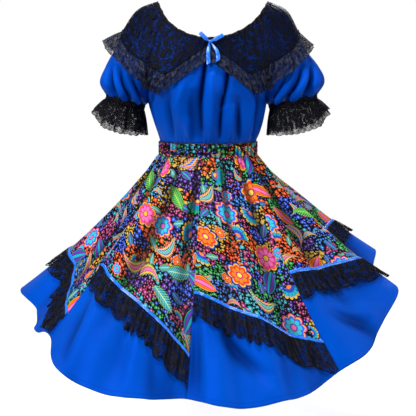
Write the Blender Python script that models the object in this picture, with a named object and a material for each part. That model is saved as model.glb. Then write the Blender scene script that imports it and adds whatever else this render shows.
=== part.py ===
"""Square dance dress: a gathered peasant bodice with puffed sleeves and a lace collar, sewn to a gored skirt.

The dress keeps the hollow form of being worn. Every piece of cloth is a thin closed wall laid over a
smooth form of the garment. The form is worked out from the tables of sections below, in metres.
+Z is up, the front faces -Y and the wearer's left is +X. The origin is between the tops of the shoulders.
"""

import functools
import math
from typing import NamedTuple

import bpy
import numpy as np
from mathutils import Vector

CLOTH = 0.0015  # wall of the woven cloth
LACE = 0.0011  # wall of the lace
SEAM_GAP = 0.0003  # between neighbouring pieces
EDGE_INSET = 0.00022  # of each panel from its seam, which opens SEAM_GAP between walls that meet at an angle
ON_TOP = CLOTH + SEAM_GAP  # where a piece that lies on the cloth begins

ARMPIT = 1.0  # places down the bodice and the sleeve: 0 is the neckline, 1 the armpit
WAIST = 1.5
CUFF = 1.15
RAGLAN_ROWS = tuple(i / 6 for i in range(7))
BODICE_ROWS = (*RAGLAN_ROWS, 1.18, 1.36, WAIST)
SLEEVE_ROWS = (*RAGLAN_ROWS, 1.075, CUFF)
FRONT_COLUMNS = 18
BACK_COLUMNS = 16
SLEEVE_COLUMNS = 24

WAIST_HALF_WIDTH = 0.1300
WAIST_HALF_DEPTH = 0.0980
BODICE_BOTTOM_Z = -0.3638
PIPING_HEIGHT = 0.0022
PIPING_WIDTH = 0.0024
PIPING_COLUMNS = 40
PIPING_STAND_OFF = 0.0010  # of the piping's inner side from the oval of the waist
BAND_TOP_Z = BODICE_BOTTOM_Z - PIPING_HEIGHT - 2 * SEAM_GAP
BAND_BOTTOM_Z = -0.4000
SKIRT_TOP_Z = -0.4014


class Lean(NamedTuple):
    """How far the top of the dress is shifted to the wearer's left at a height."""

    height: float
    shift: float


LEAN = (
    Lean(-0.400, 0.0000),
    Lean(-0.362, 0.0000),
    Lean(-0.262, -0.0030),
    Lean(-0.170, 0.0015),
    Lean(-0.080, 0.0060),
    Lean(0.000, 0.0125),
    Lean(0.030, 0.0150),
)


class Section(NamedTuple):
    """One section of the sleeve, from the neckline to the cuff, on the wearer's left."""

    down: float  # place along the sleeve
    top_x: float  # the outer, upper line of the sleeve
    top_z: float
    depth: float  # half the section's depth, front to back
    half_angle: float  # how far round the arm the cloth reaches from its outer line
    edge_x: float  # where the raglan seam, or below it the underarm seam, runs
    edge_z: float


SLEEVE = (
    Section(0.00, 0.1460, 0.000, 0.105, 30.0, 0.1266, -0.0320),
    Section(0.20, 0.1950, -0.022, 0.098, 46.0, 0.1370, -0.0750),
    Section(0.40, 0.2300, -0.074, 0.094, 66.0, 0.1450, -0.1180),
    Section(0.60, 0.2570, -0.126, 0.092, 94.0, 0.1500, -0.1620),
    Section(0.80, 0.2790, -0.170, 0.090, 134.0, 0.1550, -0.2120),
    Section(1.00, 0.2915, -0.209, 0.080, 180.0, 0.1590, -0.2580),
    Section(1.15, 0.2800, -0.239, 0.056, 180.0, 0.1700, -0.2685),
)
SLEEVE_SWING = 0.0125  # of both lower sleeves towards the wearer's left
SLEEVE_GATHERS = 8
SLEEVE_GATHER_DEPTH = 0.0048


class Side(NamedTuple):
    """The bodice's side seam below the armpit."""

    down: float
    x: float
    z: float


SIDE_SEAM = (
    Side(ARMPIT, 0.1590, -0.2580),
    Side(1.25, 0.1450, -0.3110),
    Side(WAIST, WAIST_HALF_WIDTH, BODICE_BOTTOM_Z),
)


class Centre(NamedTuple):
    """The centre line of the bodice's front or back."""

    down: float
    y: float
    z: float
    half_angle: float  # how far round an oval the section reaches at its edges


FRONT_CENTRE = (
    Centre(0.00, -0.105, -0.097, 60.0),
    Centre(0.20, -0.113, -0.125, 64.0),
    Centre(0.40, -0.123, -0.157, 68.0),
    Centre(0.60, -0.131, -0.191, 74.0),
    Centre(0.80, -0.135, -0.226, 82.0),
    Centre(ARMPIT, -0.133, -0.262, 90.0),
    Centre(1.25, -0.123, -0.314, 90.0),
    Centre(WAIST, -WAIST_HALF_DEPTH, BODICE_BOTTOM_Z, 90.0),
)
BACK_CENTRE = (
    Centre(0.00, 0.105, -0.100, 60.0),
    Centre(0.20, 0.109, -0.128, 64.0),
    Centre(0.40, 0.113, -0.159, 68.0),
    Centre(0.60, 0.115, -0.192, 74.0),
    Centre(0.80, 0.114, -0.226, 82.0),
    Centre(ARMPIT, 0.112, -0.262, 90.0),
    Centre(1.25, 0.106, -0.314, 90.0),
    Centre(WAIST, WAIST_HALF_DEPTH, BODICE_BOTTOM_Z, 90.0),
)


class Crease(NamedTuple):
    """A soft fold of the bodice that rises from the gathered waist."""

    across: float  # place across the panel, 0 at the centre and 1 at the seam
    swell: float  # height of the fold, in metres, hollow where it is below 0
    width: float
    rise: float  # how far up from the waist it reaches, in places down the bodice


FRONT_CREASES = (
    Crease(-0.72, -0.0060, 0.10, 0.55),
    Crease(-0.45, 0.0040, 0.09, 0.70),
    Crease(-0.18, -0.0030, 0.08, 0.80),
    Crease(0.04, 0.0040, 0.07, 0.90),
    Crease(0.24, -0.0035, 0.08, 0.80),
    Crease(0.50, 0.0035, 0.09, 0.65),
    Crease(0.74, -0.0045, 0.10, 0.55),
)
BACK_CREASES = (
    Crease(-0.60, -0.0040, 0.12, 0.60),
    Crease(-0.25, 0.0040, 0.11, 0.75),
    Crease(0.10, -0.0035, 0.11, 0.80),
    Crease(0.40, 0.0035, 0.11, 0.65),
    Crease(0.72, -0.0040, 0.12, 0.55),
)
CREASE_FOOT = 0.07  # over which a fold grows from the flat seam at the waist


class Fold(NamedTuple):
    """A crest or a hollow of the skirt's hem."""

    azimuth: float  # degrees from the front centre, towards the wearer's left
    reach: float  # from the upright axis through the waist
    height: float  # of the hem, below the shoulders


HEM = (
    Fold(-162, 0.462, -0.915),
    Fold(-140, 0.430, -0.885),
    Fold(-121, 0.500, -0.828),
    Fold(-105, 0.482, -0.794),
    Fold(-92, 0.530, -0.784),
    Fold(-76, 0.474, -0.808),
    Fold(-65, 0.492, -0.830),
    Fold(-53, 0.480, -0.824),
    Fold(-43, 0.526, -0.857),
    Fold(-30, 0.484, -0.914),
    Fold(-18, 0.452, -0.920),
    Fold(-7, 0.414, -0.928),
    Fold(4, 0.440, -0.936),
    Fold(13, 0.446, -0.940),
    Fold(22, 0.455, -0.932),
    Fold(31, 0.454, -0.927),
    Fold(43, 0.460, -0.894),
    Fold(51, 0.488, -0.865),
    Fold(66, 0.495, -0.805),
    Fold(77, 0.514, -0.756),
    Fold(87, 0.474, -0.729),
    Fold(98, 0.490, -0.719),
    Fold(112, 0.530, -0.711),
    Fold(131, 0.462, -0.780),
    Fold(150, 0.482, -0.868),
    Fold(176, 0.420, -0.920),
)


class Gore(NamedTuple):
    """One gore: where its left seam runs, and the slanted seam between its two panels."""

    name: str
    left_seam: float  # azimuth, in degrees
    high: float  # the slanted seam's share of the way from waist to hem at the left seam
    low: float  # the same at the right seam
    bow: float  # how far the slanted seam, straight in the flat gore, rises above a level curve


GORES = (
    Gore("right", -97, 0.670, 0.880, 0.050),
    Gore("front_right", -53, 0.610, 0.830, 0.090),
    Gore("front_left", -7, 0.575, 0.865, 0.065),
    Gore("left", 43, 0.550, 0.865, 0.060),
    Gore("back_left", 86, 0.620, 0.860, 0.070),
    Gore("back_left_middle", 131, 0.600, 0.850, 0.070),
    Gore("back_right_middle", 176, 0.600, 0.850, 0.070),
    Gore("back_right", 221, 0.600, 0.860, 0.070),
)
LAST_SEAM = GORES[0].left_seam + 360
GORE_COLUMNS = 12
PRINT_ROWS = (0.0, 0.06, 0.16, 0.32, 0.55, 0.80, 1.0)
HEM_ROWS = (0.0, 0.30, 0.62, 1.0)
WAIST_GATHERS = 24
WAIST_GATHER_DEPTH = 0.0022
GATHER_FADE = 0.22
TRIM_HALF_WIDTH = 0.0042
TRIM_LIFT = 0.0003
SKIRT_LACE_DEPTH = 0.056  # measured down the skirt
SKIRT_LACE_TIP = 0.40  # how much deeper the lace is at the low end of the slanted seam
SKIRT_LACE_WAVES = 6  # for each gore
SKIRT_LACE_SWELL = 0.0055


class Place(NamedTuple):
    """How far down the collar reaches at one place around the neck."""

    around: float  # 0 front centre, 1 and 2 the raglan seams, 1.5 the shoulder, 3 back centre
    down: float


COLLAR_EDGE = (
    Place(0.00, 0.110),
    Place(0.17, 0.280),
    Place(0.36, 0.455),
    Place(0.56, 0.628),
    Place(0.76, 0.622),
    Place(1.00, 0.608),
    Place(1.15, 0.572),
    Place(1.30, 0.490),
    Place(1.50, 0.405),
    Place(1.70, 0.470),
    Place(1.85, 0.545),
    Place(2.00, 0.570),
    Place(2.50, 0.560),
    Place(3.00, 0.540),
)
CLOTH_LENGTH = (  # metres of cloth for each place down it, around the neck
    Place(0.0, 0.170),
    Place(1.0, 0.245),
    Place(1.5, 0.265),
    Place(2.0, 0.245),
    Place(3.0, 0.165),
)
CENTRE_GAP = 0.003  # between the collar's halves and the centre lines
NECK_BAND_DOWN = 0.045
NECK_BAND_ABOVE = 0.008
NECK_BAND_LIFT = 0.0006
NECK_GATHERS = 28
NECK_SWELL = 0.0020
COLLAR_TOP = NECK_BAND_DOWN + 0.0035
COLLAR_ROWS = 6
COLLAR_LIFT = 0.0014
COLLAR_BRIDGE = 0.0060  # how far the collar stands off the hollow beside a raglan seam
BRIDGE_REACH = 0.16
COLLAR_RUFFLE_DEPTH = 0.045
COLLAR_RUFFLE_LIFT = 0.0045
COLLAR_RUFFLE_SWELL = 0.0048
SHOULDER_ANGLE = {1.0: 16.0, -1.0: 36.0}  # at which the ruffle stands out from each shoulder, in degrees
SHOULDER_REACH = 0.28
BRAID_WIDTH = 0.0045
RUFFLE_START = 0.0009  # below the collar's edge

CUFF_BAND_TOP = 0.0018  # measured from the sleeve's end, along the arm
CUFF_BAND_WIDTH = 0.0090
CUFF_BAND_COLUMNS = 24
CUFF_RUFFLE_DROP = 0.0730
CUFF_RUFFLE_SLANT = 0.36  # how much shorter the drop is on the outer side of the arm
CUFF_RUFFLE_BULGE = 0.15  # how much longer it is on the front and the back
CUFF_RUFFLE_SPREAD = 0.0250
CUFF_RUFFLE_WAVES = 10
CUFF_RUFFLE_SWELL = 0.0050

RIBBON_WIDTH = 0.0095
RIBBON = 0.0010
BOW_Z = -0.1065
BOW_STAND_OFF = 0.0112
KNOT = Vector((0.0085, 0.0060, 0.0080))
TAIL_BULGE = 0.0035  # how far the tails curve out over the ruffle


class Colour(NamedTuple):
    """A material's look."""

    red: float
    green: float
    blue: float
    roughness: float


COLOURS = {
    "royal_blue_cotton": Colour(0.004, 0.078, 0.62, 0.55),
    "printed_cotton": Colour(0.30, 0.12, 0.16, 0.60),
    "black_lace": Colour(0.008, 0.008, 0.012, 0.70),
    "blue_satin": Colour(0.01, 0.19, 0.85, 0.30),
    "navy_piping": Colour(0.004, 0.012, 0.12, 0.50),
}


def clear_scene():
    """Empties the file that the script runs in."""
    for item in list(bpy.data.objects):
        bpy.data.objects.remove(item)


def material(name):
    """The Principled material of that name, made once."""
    found = bpy.data.materials.get(name)
    if found:
        return found
    made = bpy.data.materials.new(name)
    made.use_nodes = True
    look = COLOURS[name]
    shader = made.node_tree.nodes["Principled BSDF"]
    shader.inputs["Base Color"].default_value = (look.red, look.green, look.blue, 1.0)
    shader.inputs["Roughness"].default_value = look.roughness
    return made


def steps(count, low=0.0, high=1.0):
    """Evenly spaced values, with both ends."""
    return [low + (high - low) * i / count for i in range(count + 1)]


def smooth_row(table, place):
    """The table's row at a place between its rows, on a smooth curve through them."""
    rows = np.array(table, float)
    places = rows[:, 0]
    slopes = np.gradient(rows, places, axis=0)
    i = int(np.clip(np.searchsorted(places, place) - 1, 0, len(rows) - 2))
    span = places[i + 1] - places[i]
    s = min(max((place - places[i]) / span, 0.0), 1.0)
    values = (
        (2 * s**3 - 3 * s**2 + 1) * rows[i]
        + (s**3 - 2 * s**2 + s) * span * slopes[i]
        + (3 * s**2 - 2 * s**3) * rows[i + 1]
        + (s**3 - s**2) * span * slopes[i + 1]
    )
    return type(table[0])(*values)


def straight_row(table, place):
    """The table's row at a place between its rows, on straight lines through them."""
    rows = np.array(table, float)
    values = [np.interp(place, rows[:, 0], rows[:, i]) for i in range(rows.shape[1])]
    return type(table[0])(*values)


def leaning(point):
    """The bodice's point, shifted sideways with its height."""
    return point + Vector((smooth_row(LEAN, point.z).shift, 0.0, 0.0))


def eased(value):
    """A smooth step from 0 to 1."""
    s = min(max(value, 0.0), 1.0)
    return s * s * (3 - 2 * s)


def reach_of(row, down):
    """How far round the arm the sleeve's cloth reaches at a section, in radians."""
    return math.radians(min(row.half_angle, 180.0)) if down < ARMPIT else math.pi


def seam_edge(down):
    """(x, depth, z) of the raglan seam down to the armpit, and of the side seam below it."""
    if down < ARMPIT:
        row = smooth_row(SLEEVE, down)
        return row.edge_x, row.depth * math.sin(reach_of(row, down)), row.edge_z
    row = smooth_row(SIDE_SEAM, down)
    return row.x, 0.0, row.z


def crease_height(creases, across, down):
    """How far the bodice's soft folds lift the cloth at a place."""
    height = 0.0
    foot = 1.0 - math.exp(-max(WAIST - down, 0.0) / CREASE_FOOT)
    for crease in creases:
        spread = math.exp(-(((across - crease.across) / crease.width) ** 2))
        climb = eased((down - (WAIST - crease.rise)) / crease.rise)
        height += crease.swell * spread * climb * foot
    return height


def bodice_form(is_front, across, down):
    """A point of the bodice: across from -1 to 1, and down from the neckline to the waist."""
    centre = smooth_row(FRONT_CENTRE if is_front else BACK_CENTRE, down)
    edge_x, edge_depth, edge_z = seam_edge(down)
    edge_y = -edge_depth if is_front else edge_depth
    reach = math.radians(min(centre.half_angle, 90.0))
    angle = across * reach
    share = (math.cos(angle) - math.cos(reach)) / (1.0 - math.cos(reach))
    creases = FRONT_CREASES if is_front else BACK_CREASES
    swell = crease_height(creases, across, down) * (-1.0 if is_front else 1.0)
    return leaning(
        Vector(
            (
                edge_x * math.sin(angle) / math.sin(reach),
                edge_y + (centre.y - edge_y) * share + swell,
                edge_z + (centre.z - edge_z) * share,
            )
        )
    )


def sleeve_form(side, across, down):
    """A point of the sleeve: across from -1 at the front seam, over the arm, to 1 at the back seam."""
    row = smooth_row(SLEEVE, down)
    reach = reach_of(row, down)
    angle = across * reach
    share = (1.0 - math.cos(angle)) / (1.0 - math.cos(reach))
    swing = side * SLEEVE_SWING * eased((down - 0.45) / 0.5)
    top_x = row.top_x + swing
    lower = max(0.0, (down - 0.55) / (ARMPIT - 0.55))
    gather = SLEEVE_GATHER_DEPTH * min(lower**2, 1.0) * (1.0 - 0.5 * eased((down - ARMPIT) / 0.15))
    gather *= math.cos(math.pi * SLEEVE_GATHERS * across)
    gather *= 1.0 - abs(across) ** 6
    outward = Vector((math.cos(angle) * 0.97, math.sin(angle), math.cos(angle) * 0.25))
    point = Vector(
        (
            top_x + (row.edge_x - top_x) * share,
            row.depth * math.sin(angle),
            row.top_z + (row.edge_z - row.top_z) * share,
        )
    )
    point += outward * gather
    point.x *= side
    return leaning(point)


def hem_at(azimuth):
    """The hem's fold at an azimuth, on a smooth closed curve through the table."""
    turned = (azimuth + 180.0) % 360.0 - 180.0
    before = [Fold(f.azimuth - 360, f.reach, f.height) for f in HEM[-3:]]
    after = [Fold(f.azimuth + 360, f.reach, f.height) for f in HEM[:3]]
    return smooth_row((*before, *HEM, *after), turned)


def waist_oval(azimuth, swell, z):
    """A point on the oval of the waist, moved out by a swell."""
    a = math.radians(azimuth)
    x = (WAIST_HALF_WIDTH + swell) * math.sin(a)
    y = -(WAIST_HALF_DEPTH + swell) * math.cos(a)
    return Vector((x, y, z))


def gathered_swell(azimuth, fade):
    """How far the waist's gathers stand out from the oval."""
    return WAIST_GATHER_DEPTH * (1.0 + math.sin(math.radians(azimuth) * WAIST_GATHERS) * fade)


def skirt_form(azimuth, down):
    """A point of the skirt: down from 0 at the waistband to 1 at the hem."""
    a = math.radians(azimuth)
    hem = hem_at(azimuth)
    fade = max(0.0, 1.0 - down / GATHER_FADE)
    top = waist_oval(azimuth, gathered_swell(azimuth, fade), SKIRT_TOP_Z)
    bottom = Vector((hem.reach * math.sin(a), -hem.reach * math.cos(a), hem.height))
    out = 0.84 * down + 0.16 * down**2
    fall = 1.10 * down - 0.10 * down**2
    flat = top.lerp(bottom, out)
    return Vector((flat.x, flat.y, top.z + (bottom.z - top.z) * fall))


def normal_of(form, u, v, outward, step=0.002):
    """The unit normal of a form at (u, v), on the side of the direction outward."""
    along_u = form(u + step, v) - form(u - step, v)
    along_v = form(u, v + step) - form(u, v - step)
    normal = along_u.cross(along_v).normalized()
    return normal if normal.dot(outward) > 0 else -normal


class Sheet:
    """A grid of points on the garment's form, with the cloth's outward direction at each."""

    def __init__(self, points, normals):
        self.points = points
        self.normals = normals

    def at(self, row, column):
        """(point, normal) between the grid's points, so that what lies on the sheet follows its facets."""
        r = min(int(row), len(self.points) - 2)
        c = min(int(column), len(self.points[0]) - 2)
        s, t = row - r, column - c
        near = self.points[r][c].lerp(self.points[r][c + 1], t)
        far = self.points[r + 1][c].lerp(self.points[r + 1][c + 1], t)
        near_out = self.normals[r][c].lerp(self.normals[r][c + 1], t)
        far_out = self.normals[r + 1][c].lerp(self.normals[r + 1][c + 1], t)
        return near.lerp(far, s), near_out.lerp(far_out, s).normalized()

    def lifted(self, row, column, lift):
        """The point that lies at a height above the sheet."""
        point, normal = self.at(row, column)
        return point + normal * lift


def volume_of(mesh):
    """The signed volume of a closed mesh, which is below 0 where it is inside out."""
    mesh.calc_loop_triangles()
    total = 0.0
    for triangle in mesh.loop_triangles:
        a, b, c = (mesh.vertices[i].co for i in triangle.vertices)
        total += a.dot(b.cross(c))
    return total


def solid(name, points, faces, look):
    """An object of these faces, turned to face out."""
    mesh = bpy.data.meshes.new(name)
    mesh.from_pydata([tuple(p) for p in points], [], faces)
    mesh.update()
    if volume_of(mesh) < 0:
        mesh.flip_normals()
    mesh.shade_smooth()
    mesh.set_sharp_from_angle(angle=math.radians(50))
    item = bpy.data.objects.new(name, mesh)
    item.data.materials.append(material(look))
    bpy.context.collection.objects.link(item)
    return item


def wall(name, inner, outer, look, closed=False):
    """A solid wall between two grids of points. A closed wall joins its last column to its first."""
    rows, columns = len(inner), len(inner[0])
    points = [p for grid in (inner, outer) for line in grid for p in line]

    def index(layer, r, c):
        return (layer * rows + r) * columns + c % columns

    faces = []
    last = columns if closed else columns - 1
    for r in range(rows - 1):
        for c in range(last):
            start, across, opposite, down = (r, c), (r, c + 1), (r + 1, c + 1), (r + 1, c)
            faces.append([index(1, *q) for q in (start, across, opposite, down)])
            faces.append([index(0, *q) for q in (start, down, opposite, across)])
    for r, turn in ((0, False), (rows - 1, True)):
        for c in range(last):
            rim = [index(0, r, c), index(0, r, c + 1), index(1, r, c + 1), index(1, r, c)]
            faces.append(rim[::-1] if turn else rim)
    if not closed:
        for c, turn in ((0, True), (columns - 1, False)):
            for r in range(rows - 1):
                rim = [index(0, r, c), index(0, r + 1, c), index(1, r + 1, c), index(1, r, c)]
                faces.append(rim[::-1] if turn else rim)
    return solid(name, points, faces, look)


def cloth_wall(name, sheet, look, thick=CLOTH):
    """The wall of a panel, from its form outwards."""
    outer = [
        [p + n * thick for p, n in zip(points, normals)]
        for points, normals in zip(sheet.points, sheet.normals)
    ]
    return wall(name, sheet.points, outer, look)


def seam_normal(side, is_front, down):
    """The direction halfway between the bodice's and the sleeve's at the raglan seam."""
    face = -1.0 if is_front else 1.0
    outward = Vector((side * 0.5, face, 0.3))
    bodice = normal_of(lambda u, v: bodice_form(is_front, u, v), side * 0.97, down, outward)
    sleeve = normal_of(lambda u, v: sleeve_form(side, u, v), face * 0.97, down, outward)
    return (bodice + sleeve).normalized()


def inset(form, across, down):
    """The form's point at a seam, moved a little into its own panel."""
    point = form(across, down)
    return point + (form(across * 0.98, down) - point).normalized() * EDGE_INSET


def bodice_sheet(is_front, columns):
    """The grid of the bodice's front or back panel."""
    face = -1.0 if is_front else 1.0

    def form(u, v):
        return bodice_form(is_front, u, v)

    points, normals = [], []
    for down in BODICE_ROWS:
        line, out = [], []
        for across in steps(columns, -1.0, 1.0):
            side = math.copysign(1.0, across)
            outward = Vector((across * 0.6, face, 0.0))
            if abs(across) < 1.0:
                point, normal = form(across, down), normal_of(form, across, down, outward)
            elif down < ARMPIT:
                point, normal = inset(form, across, down), seam_normal(side, is_front, down)
            else:
                point, normal = inset(form, across, down), Vector((side, 0.0, 0.0))
            if abs(across) == 1.0 and down == ARMPIT:
                point.x -= side * (CLOTH + SEAM_GAP / 2)
            if down == WAIST:
                normal = Vector((normal.x, normal.y, 0.0)).normalized()
            line.append(point)
            out.append(normal)
        points.append(line)
        normals.append(out)
    return Sheet(points, normals)


def sleeve_sheet(side, columns):
    """The grid of one sleeve, from the front seam over the arm to the back seam."""

    def form(u, v):
        return sleeve_form(side, u, v)

    points, normals = [], []
    for down in SLEEVE_ROWS:
        line, out = [], []
        reach = reach_of(smooth_row(SLEEVE, down), down)
        for across in steps(columns, -1.0, 1.0):
            angle = across * reach
            outward = Vector((side * math.cos(angle), math.sin(angle), 0.3 * math.cos(angle)))
            if abs(across) < 1.0:
                point, normal = form(across, down), normal_of(form, across, down, outward)
            elif down < ARMPIT:
                point, normal = inset(form, across, down), seam_normal(side, across < 0, down)
            else:
                point = inset(form, across, down)
                normal = Vector((-side, 0.0, -0.25)).normalized()
            if abs(across) == 1.0 and down == ARMPIT:
                point.x += side * (CLOTH + SEAM_GAP / 2)
                normal = Vector((-side, 0.0, 0.0))
            line.append(point)
            out.append(normal)
        points.append(line)
        normals.append(out)
    return Sheet(points, normals)


class Upper:
    """The bodice's and sleeves' sheets, and the places on them that the collar and the neckband follow."""

    def __init__(self):
        self.front = bodice_sheet(True, FRONT_COLUMNS)
        self.back = bodice_sheet(False, BACK_COLUMNS)
        self.sleeves = {side: sleeve_sheet(side, SLEEVE_COLUMNS) for side in (1.0, -1.0)}

    def laid(self, side, around, down, lift):
        """The point at a height above the cloth, at a place around the neck and down from it."""
        if around <= 1.0:
            column = (1.0 + side * around) / 2 * FRONT_COLUMNS
            sheet, rows = self.front, BODICE_ROWS
        elif around < 2.0:
            column = (around - 1.0) * SLEEVE_COLUMNS
            sheet, rows = self.sleeves[side], SLEEVE_ROWS
        else:
            column = (1.0 + side * (3.0 - around)) / 2 * BACK_COLUMNS
            sheet, rows = self.back, BODICE_ROWS
        row = float(np.interp(max(down, 0.0), rows, range(len(rows))))
        point = sheet.lifted(row, column, lift)
        if down < 0.0:
            point += (point - sheet.lifted(1.0, column, lift)) * (-down / RAGLAN_ROWS[1])
        return point


def build_bodice(upper):
    """The front and back panels and the two sleeves."""
    cloth_wall("bodice_front", upper.front, "royal_blue_cotton")
    cloth_wall("bodice_back", upper.back, "royal_blue_cotton")
    for side, name in ((1.0, "sleeve_left"), (-1.0, "sleeve_right")):
        cloth_wall(name, upper.sleeves[side], "royal_blue_cotton")


def bridge(around):
    """How far the collar stands off the hollow beside a raglan seam."""
    return sum(COLLAR_BRIDGE * math.exp(-(((around - seam) / BRIDGE_REACH) ** 2)) for seam in (1.0, 2.0))


def build_neckband(upper):
    """The gathered elastic casing of the neckline, in black lace."""
    half = [3.0 * (i + 0.5) / NECK_GATHERS for i in range(NECK_GATHERS)]
    places = [(1.0, a) for a in half] + [(-1.0, a) for a in reversed(half)]
    inner, outer = [], []
    for down in (-NECK_BAND_ABOVE, NECK_BAND_DOWN):
        low, high = [], []
        for i, (side, around) in enumerate(places):
            swell = NECK_SWELL * (i % 2)
            base = ON_TOP + NECK_BAND_LIFT + bridge(around) * 0.3
            low.append(upper.laid(side, around, down, base))
            high.append(upper.laid(side, around, down, base + LACE + swell))
        inner.append(low)
        outer.append(high)
    wall("neckband", inner, outer, "black_lace", closed=True)


def collar_places():
    """Places around one side of the neck that fall on the cloth's own columns, so that both bend alike."""
    front = [2 * i / FRONT_COLUMNS for i in range(FRONT_COLUMNS // 2)]
    sleeve = [1.0 + i / SLEEVE_COLUMNS for i in range(SLEEVE_COLUMNS)]
    back = [2.0 + 2 * i / BACK_COLUMNS for i in range(BACK_COLUMNS // 2 + 1)]
    return [min(max(a, CENTRE_GAP), 3.0 - CENTRE_GAP) for a in (*front, *sleeve, *back)]


def ruffle_places():
    """The collar's places, with the wide steps of the front and the back halved: four to a wave of the ruffle."""
    places = collar_places()
    found = []
    for before, after in zip(places, places[1:]):
        halved = before < 0.99 or before > 1.99
        found += [before, (before + after) / 2] if halved else [before]
    return [*found, places[-1]]


def places_down(around):
    """Places down the collar that fall on the cloth's own rows and the braid's upper edge."""
    bottom = edge_at(around)
    braid = bottom - down_for(around, BRAID_WIDTH)
    own = (r for r in RAGLAN_ROWS if COLLAR_TOP + 0.03 < r < braid - 0.02)
    chosen = [COLLAR_TOP, *own, braid, bottom]
    while len(chosen) < COLLAR_ROWS:
        spans = [b - a for a, b in zip(chosen, chosen[1:-1])]
        widest = spans.index(max(spans))
        chosen.insert(widest + 1, (chosen[widest] + chosen[widest + 1]) / 2)
    return chosen


@functools.cache
def edge_at(around):
    """How far down the collar's lower seam lies, which is straight between the collar's places."""
    places = collar_places()
    before = max(p for p in (CENTRE_GAP, *places) if p <= around)
    after = min(p for p in (*places, 3.0 - CENTRE_GAP) if p >= around)
    low, high = smooth_row(COLLAR_EDGE, before).down, smooth_row(COLLAR_EDGE, after).down
    return low + (high - low) * (around - before) / max(after - before, 1e-9)


def down_for(around, distance):
    """A distance along the cloth as places down it, at a place around the neck."""
    return distance / straight_row(CLOTH_LENGTH, around).down


def collar_base(around):
    """The height of the collar's inner face above the cloth's form."""
    return ON_TOP + COLLAR_LIFT + bridge(around)


def build_collar(upper, side, name):
    """One side of the flat lace collar, and the braid on its lower seam."""
    places = collar_places()
    downs = [places_down(a) for a in places]
    inner, outer = [], []
    for row in range(COLLAR_ROWS):
        spots = [(side, a, d[row]) for a, d in zip(places, downs)]
        inner.append([upper.laid(*spot, collar_base(spot[1])) for spot in spots])
        outer.append([upper.laid(*spot, collar_base(spot[1]) + LACE) for spot in spots])
    wall(f"collar_{name}", inner, outer, "black_lace")
    inner, outer = [], []
    for above in (BRAID_WIDTH, 0.0):
        spots = [(side, a, edge_at(a) - down_for(a, above)) for a in places]
        clear = LACE + SEAM_GAP
        inner.append([upper.laid(*spot, collar_base(spot[1]) + clear) for spot in spots])
        outer.append([upper.laid(*spot, collar_base(spot[1]) + clear + LACE) for spot in spots])
    wall(f"collar_braid_{name}", inner, outer, "black_lace")


def build_collar_ruffle(upper, side, name):
    """The gathered lace below one side of the collar."""
    inner, outer = [], []
    for share in (0.0, 0.5, 1.0):
        low, high = [], []
        for i, around in enumerate(ruffle_places()):
            shoulder = math.exp(-(((around - 1.5) / SHOULDER_REACH) ** 2))
            angle = math.radians(SHOULDER_ANGLE[side]) * shoulder
            fallen = RUFFLE_START + COLLAR_RUFFLE_DEPTH * share * math.cos(angle)
            down = edge_at(around) + down_for(around, fallen)
            lift = (COLLAR_RUFFLE_LIFT + COLLAR_RUFFLE_DEPTH * math.sin(angle)) * share
            wave = 0.5 + 0.5 * math.sin(math.pi / 2 * i)
            lift += (0.0010 + (COLLAR_RUFFLE_SWELL - 0.0010) * share) * wave
            base = collar_base(around) + lift
            low.append(upper.laid(side, around, down, base))
            high.append(upper.laid(side, around, down, base + LACE))
        inner.append(low)
        outer.append(high)
    wall(f"collar_ruffle_{name}", inner, outer, "black_lace")


class Cuff:
    """The oval at the end of one sleeve, and the directions out from it and along the arm."""

    def __init__(self, side):
        row = SLEEVE[-1]
        self.side = side
        self.outer = Vector((side * row.top_x + SLEEVE_SWING, 0.0, row.top_z))
        self.inner = Vector((side * row.edge_x, 0.0, row.edge_z))
        self.depth = row.depth
        self.across = (self.outer - self.inner).normalized()
        self.along = Vector((self.across.z, 0.0, -self.across.x)) * side

    def at(self, angle, out, along):
        """(point) at an angle round the arm, a distance out from the oval and one along the arm."""
        centre = (self.outer + self.inner) / 2
        half = (self.outer - self.inner).length / 2
        spot = centre + self.across * (half + out) * math.cos(angle)
        spot += Vector((0.0, (self.depth + out) * math.sin(angle), 0.0)) + self.along * along
        return leaning(spot)


def build_cuff(side, name):
    """The gathered elastic band and the flared lace ruffle of one sleeve."""
    cuff = Cuff(side)
    angles = [2 * math.pi * i / CUFF_BAND_COLUMNS for i in range(CUFF_BAND_COLUMNS)]
    inner, outer = [], []
    for along in (CUFF_BAND_TOP, CUFF_BAND_TOP + CUFF_BAND_WIDTH):
        inner.append([cuff.at(a, 0.0, along) for a in angles])
        outer.append([cuff.at(a, LACE + NECK_SWELL * (i % 2), along) for i, a in enumerate(angles)])
    wall(f"cuff_band_{name}", inner, outer, "black_lace", closed=True)
    columns = CUFF_RUFFLE_WAVES * 4
    start = CUFF_BAND_TOP + CUFF_BAND_WIDTH + SEAM_GAP
    inner, outer = [], []
    for share in (0.0, 0.45, 1.0):
        low, high = [], []
        for i in range(columns):
            angle = 2 * math.pi * i / columns
            wave = math.sin(math.pi / 2 * i) * CUFF_RUFFLE_SWELL * share
            out = 0.0006 + CUFF_RUFFLE_SPREAD * share**0.7 + wave
            shorter = CUFF_RUFFLE_SLANT * max(0.0, math.cos(angle)) ** 4
            drop = CUFF_RUFFLE_DROP * (1.0 - shorter + CUFF_RUFFLE_BULGE * math.sin(angle) ** 2)
            along = start + (drop - start) * share
            low.append(cuff.at(angle, out, along))
            high.append(cuff.at(angle, out + LACE, along))
        inner.append(low)
        outer.append(high)
    wall(f"cuff_ruffle_{name}", inner, outer, "black_lace", closed=True)


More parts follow.
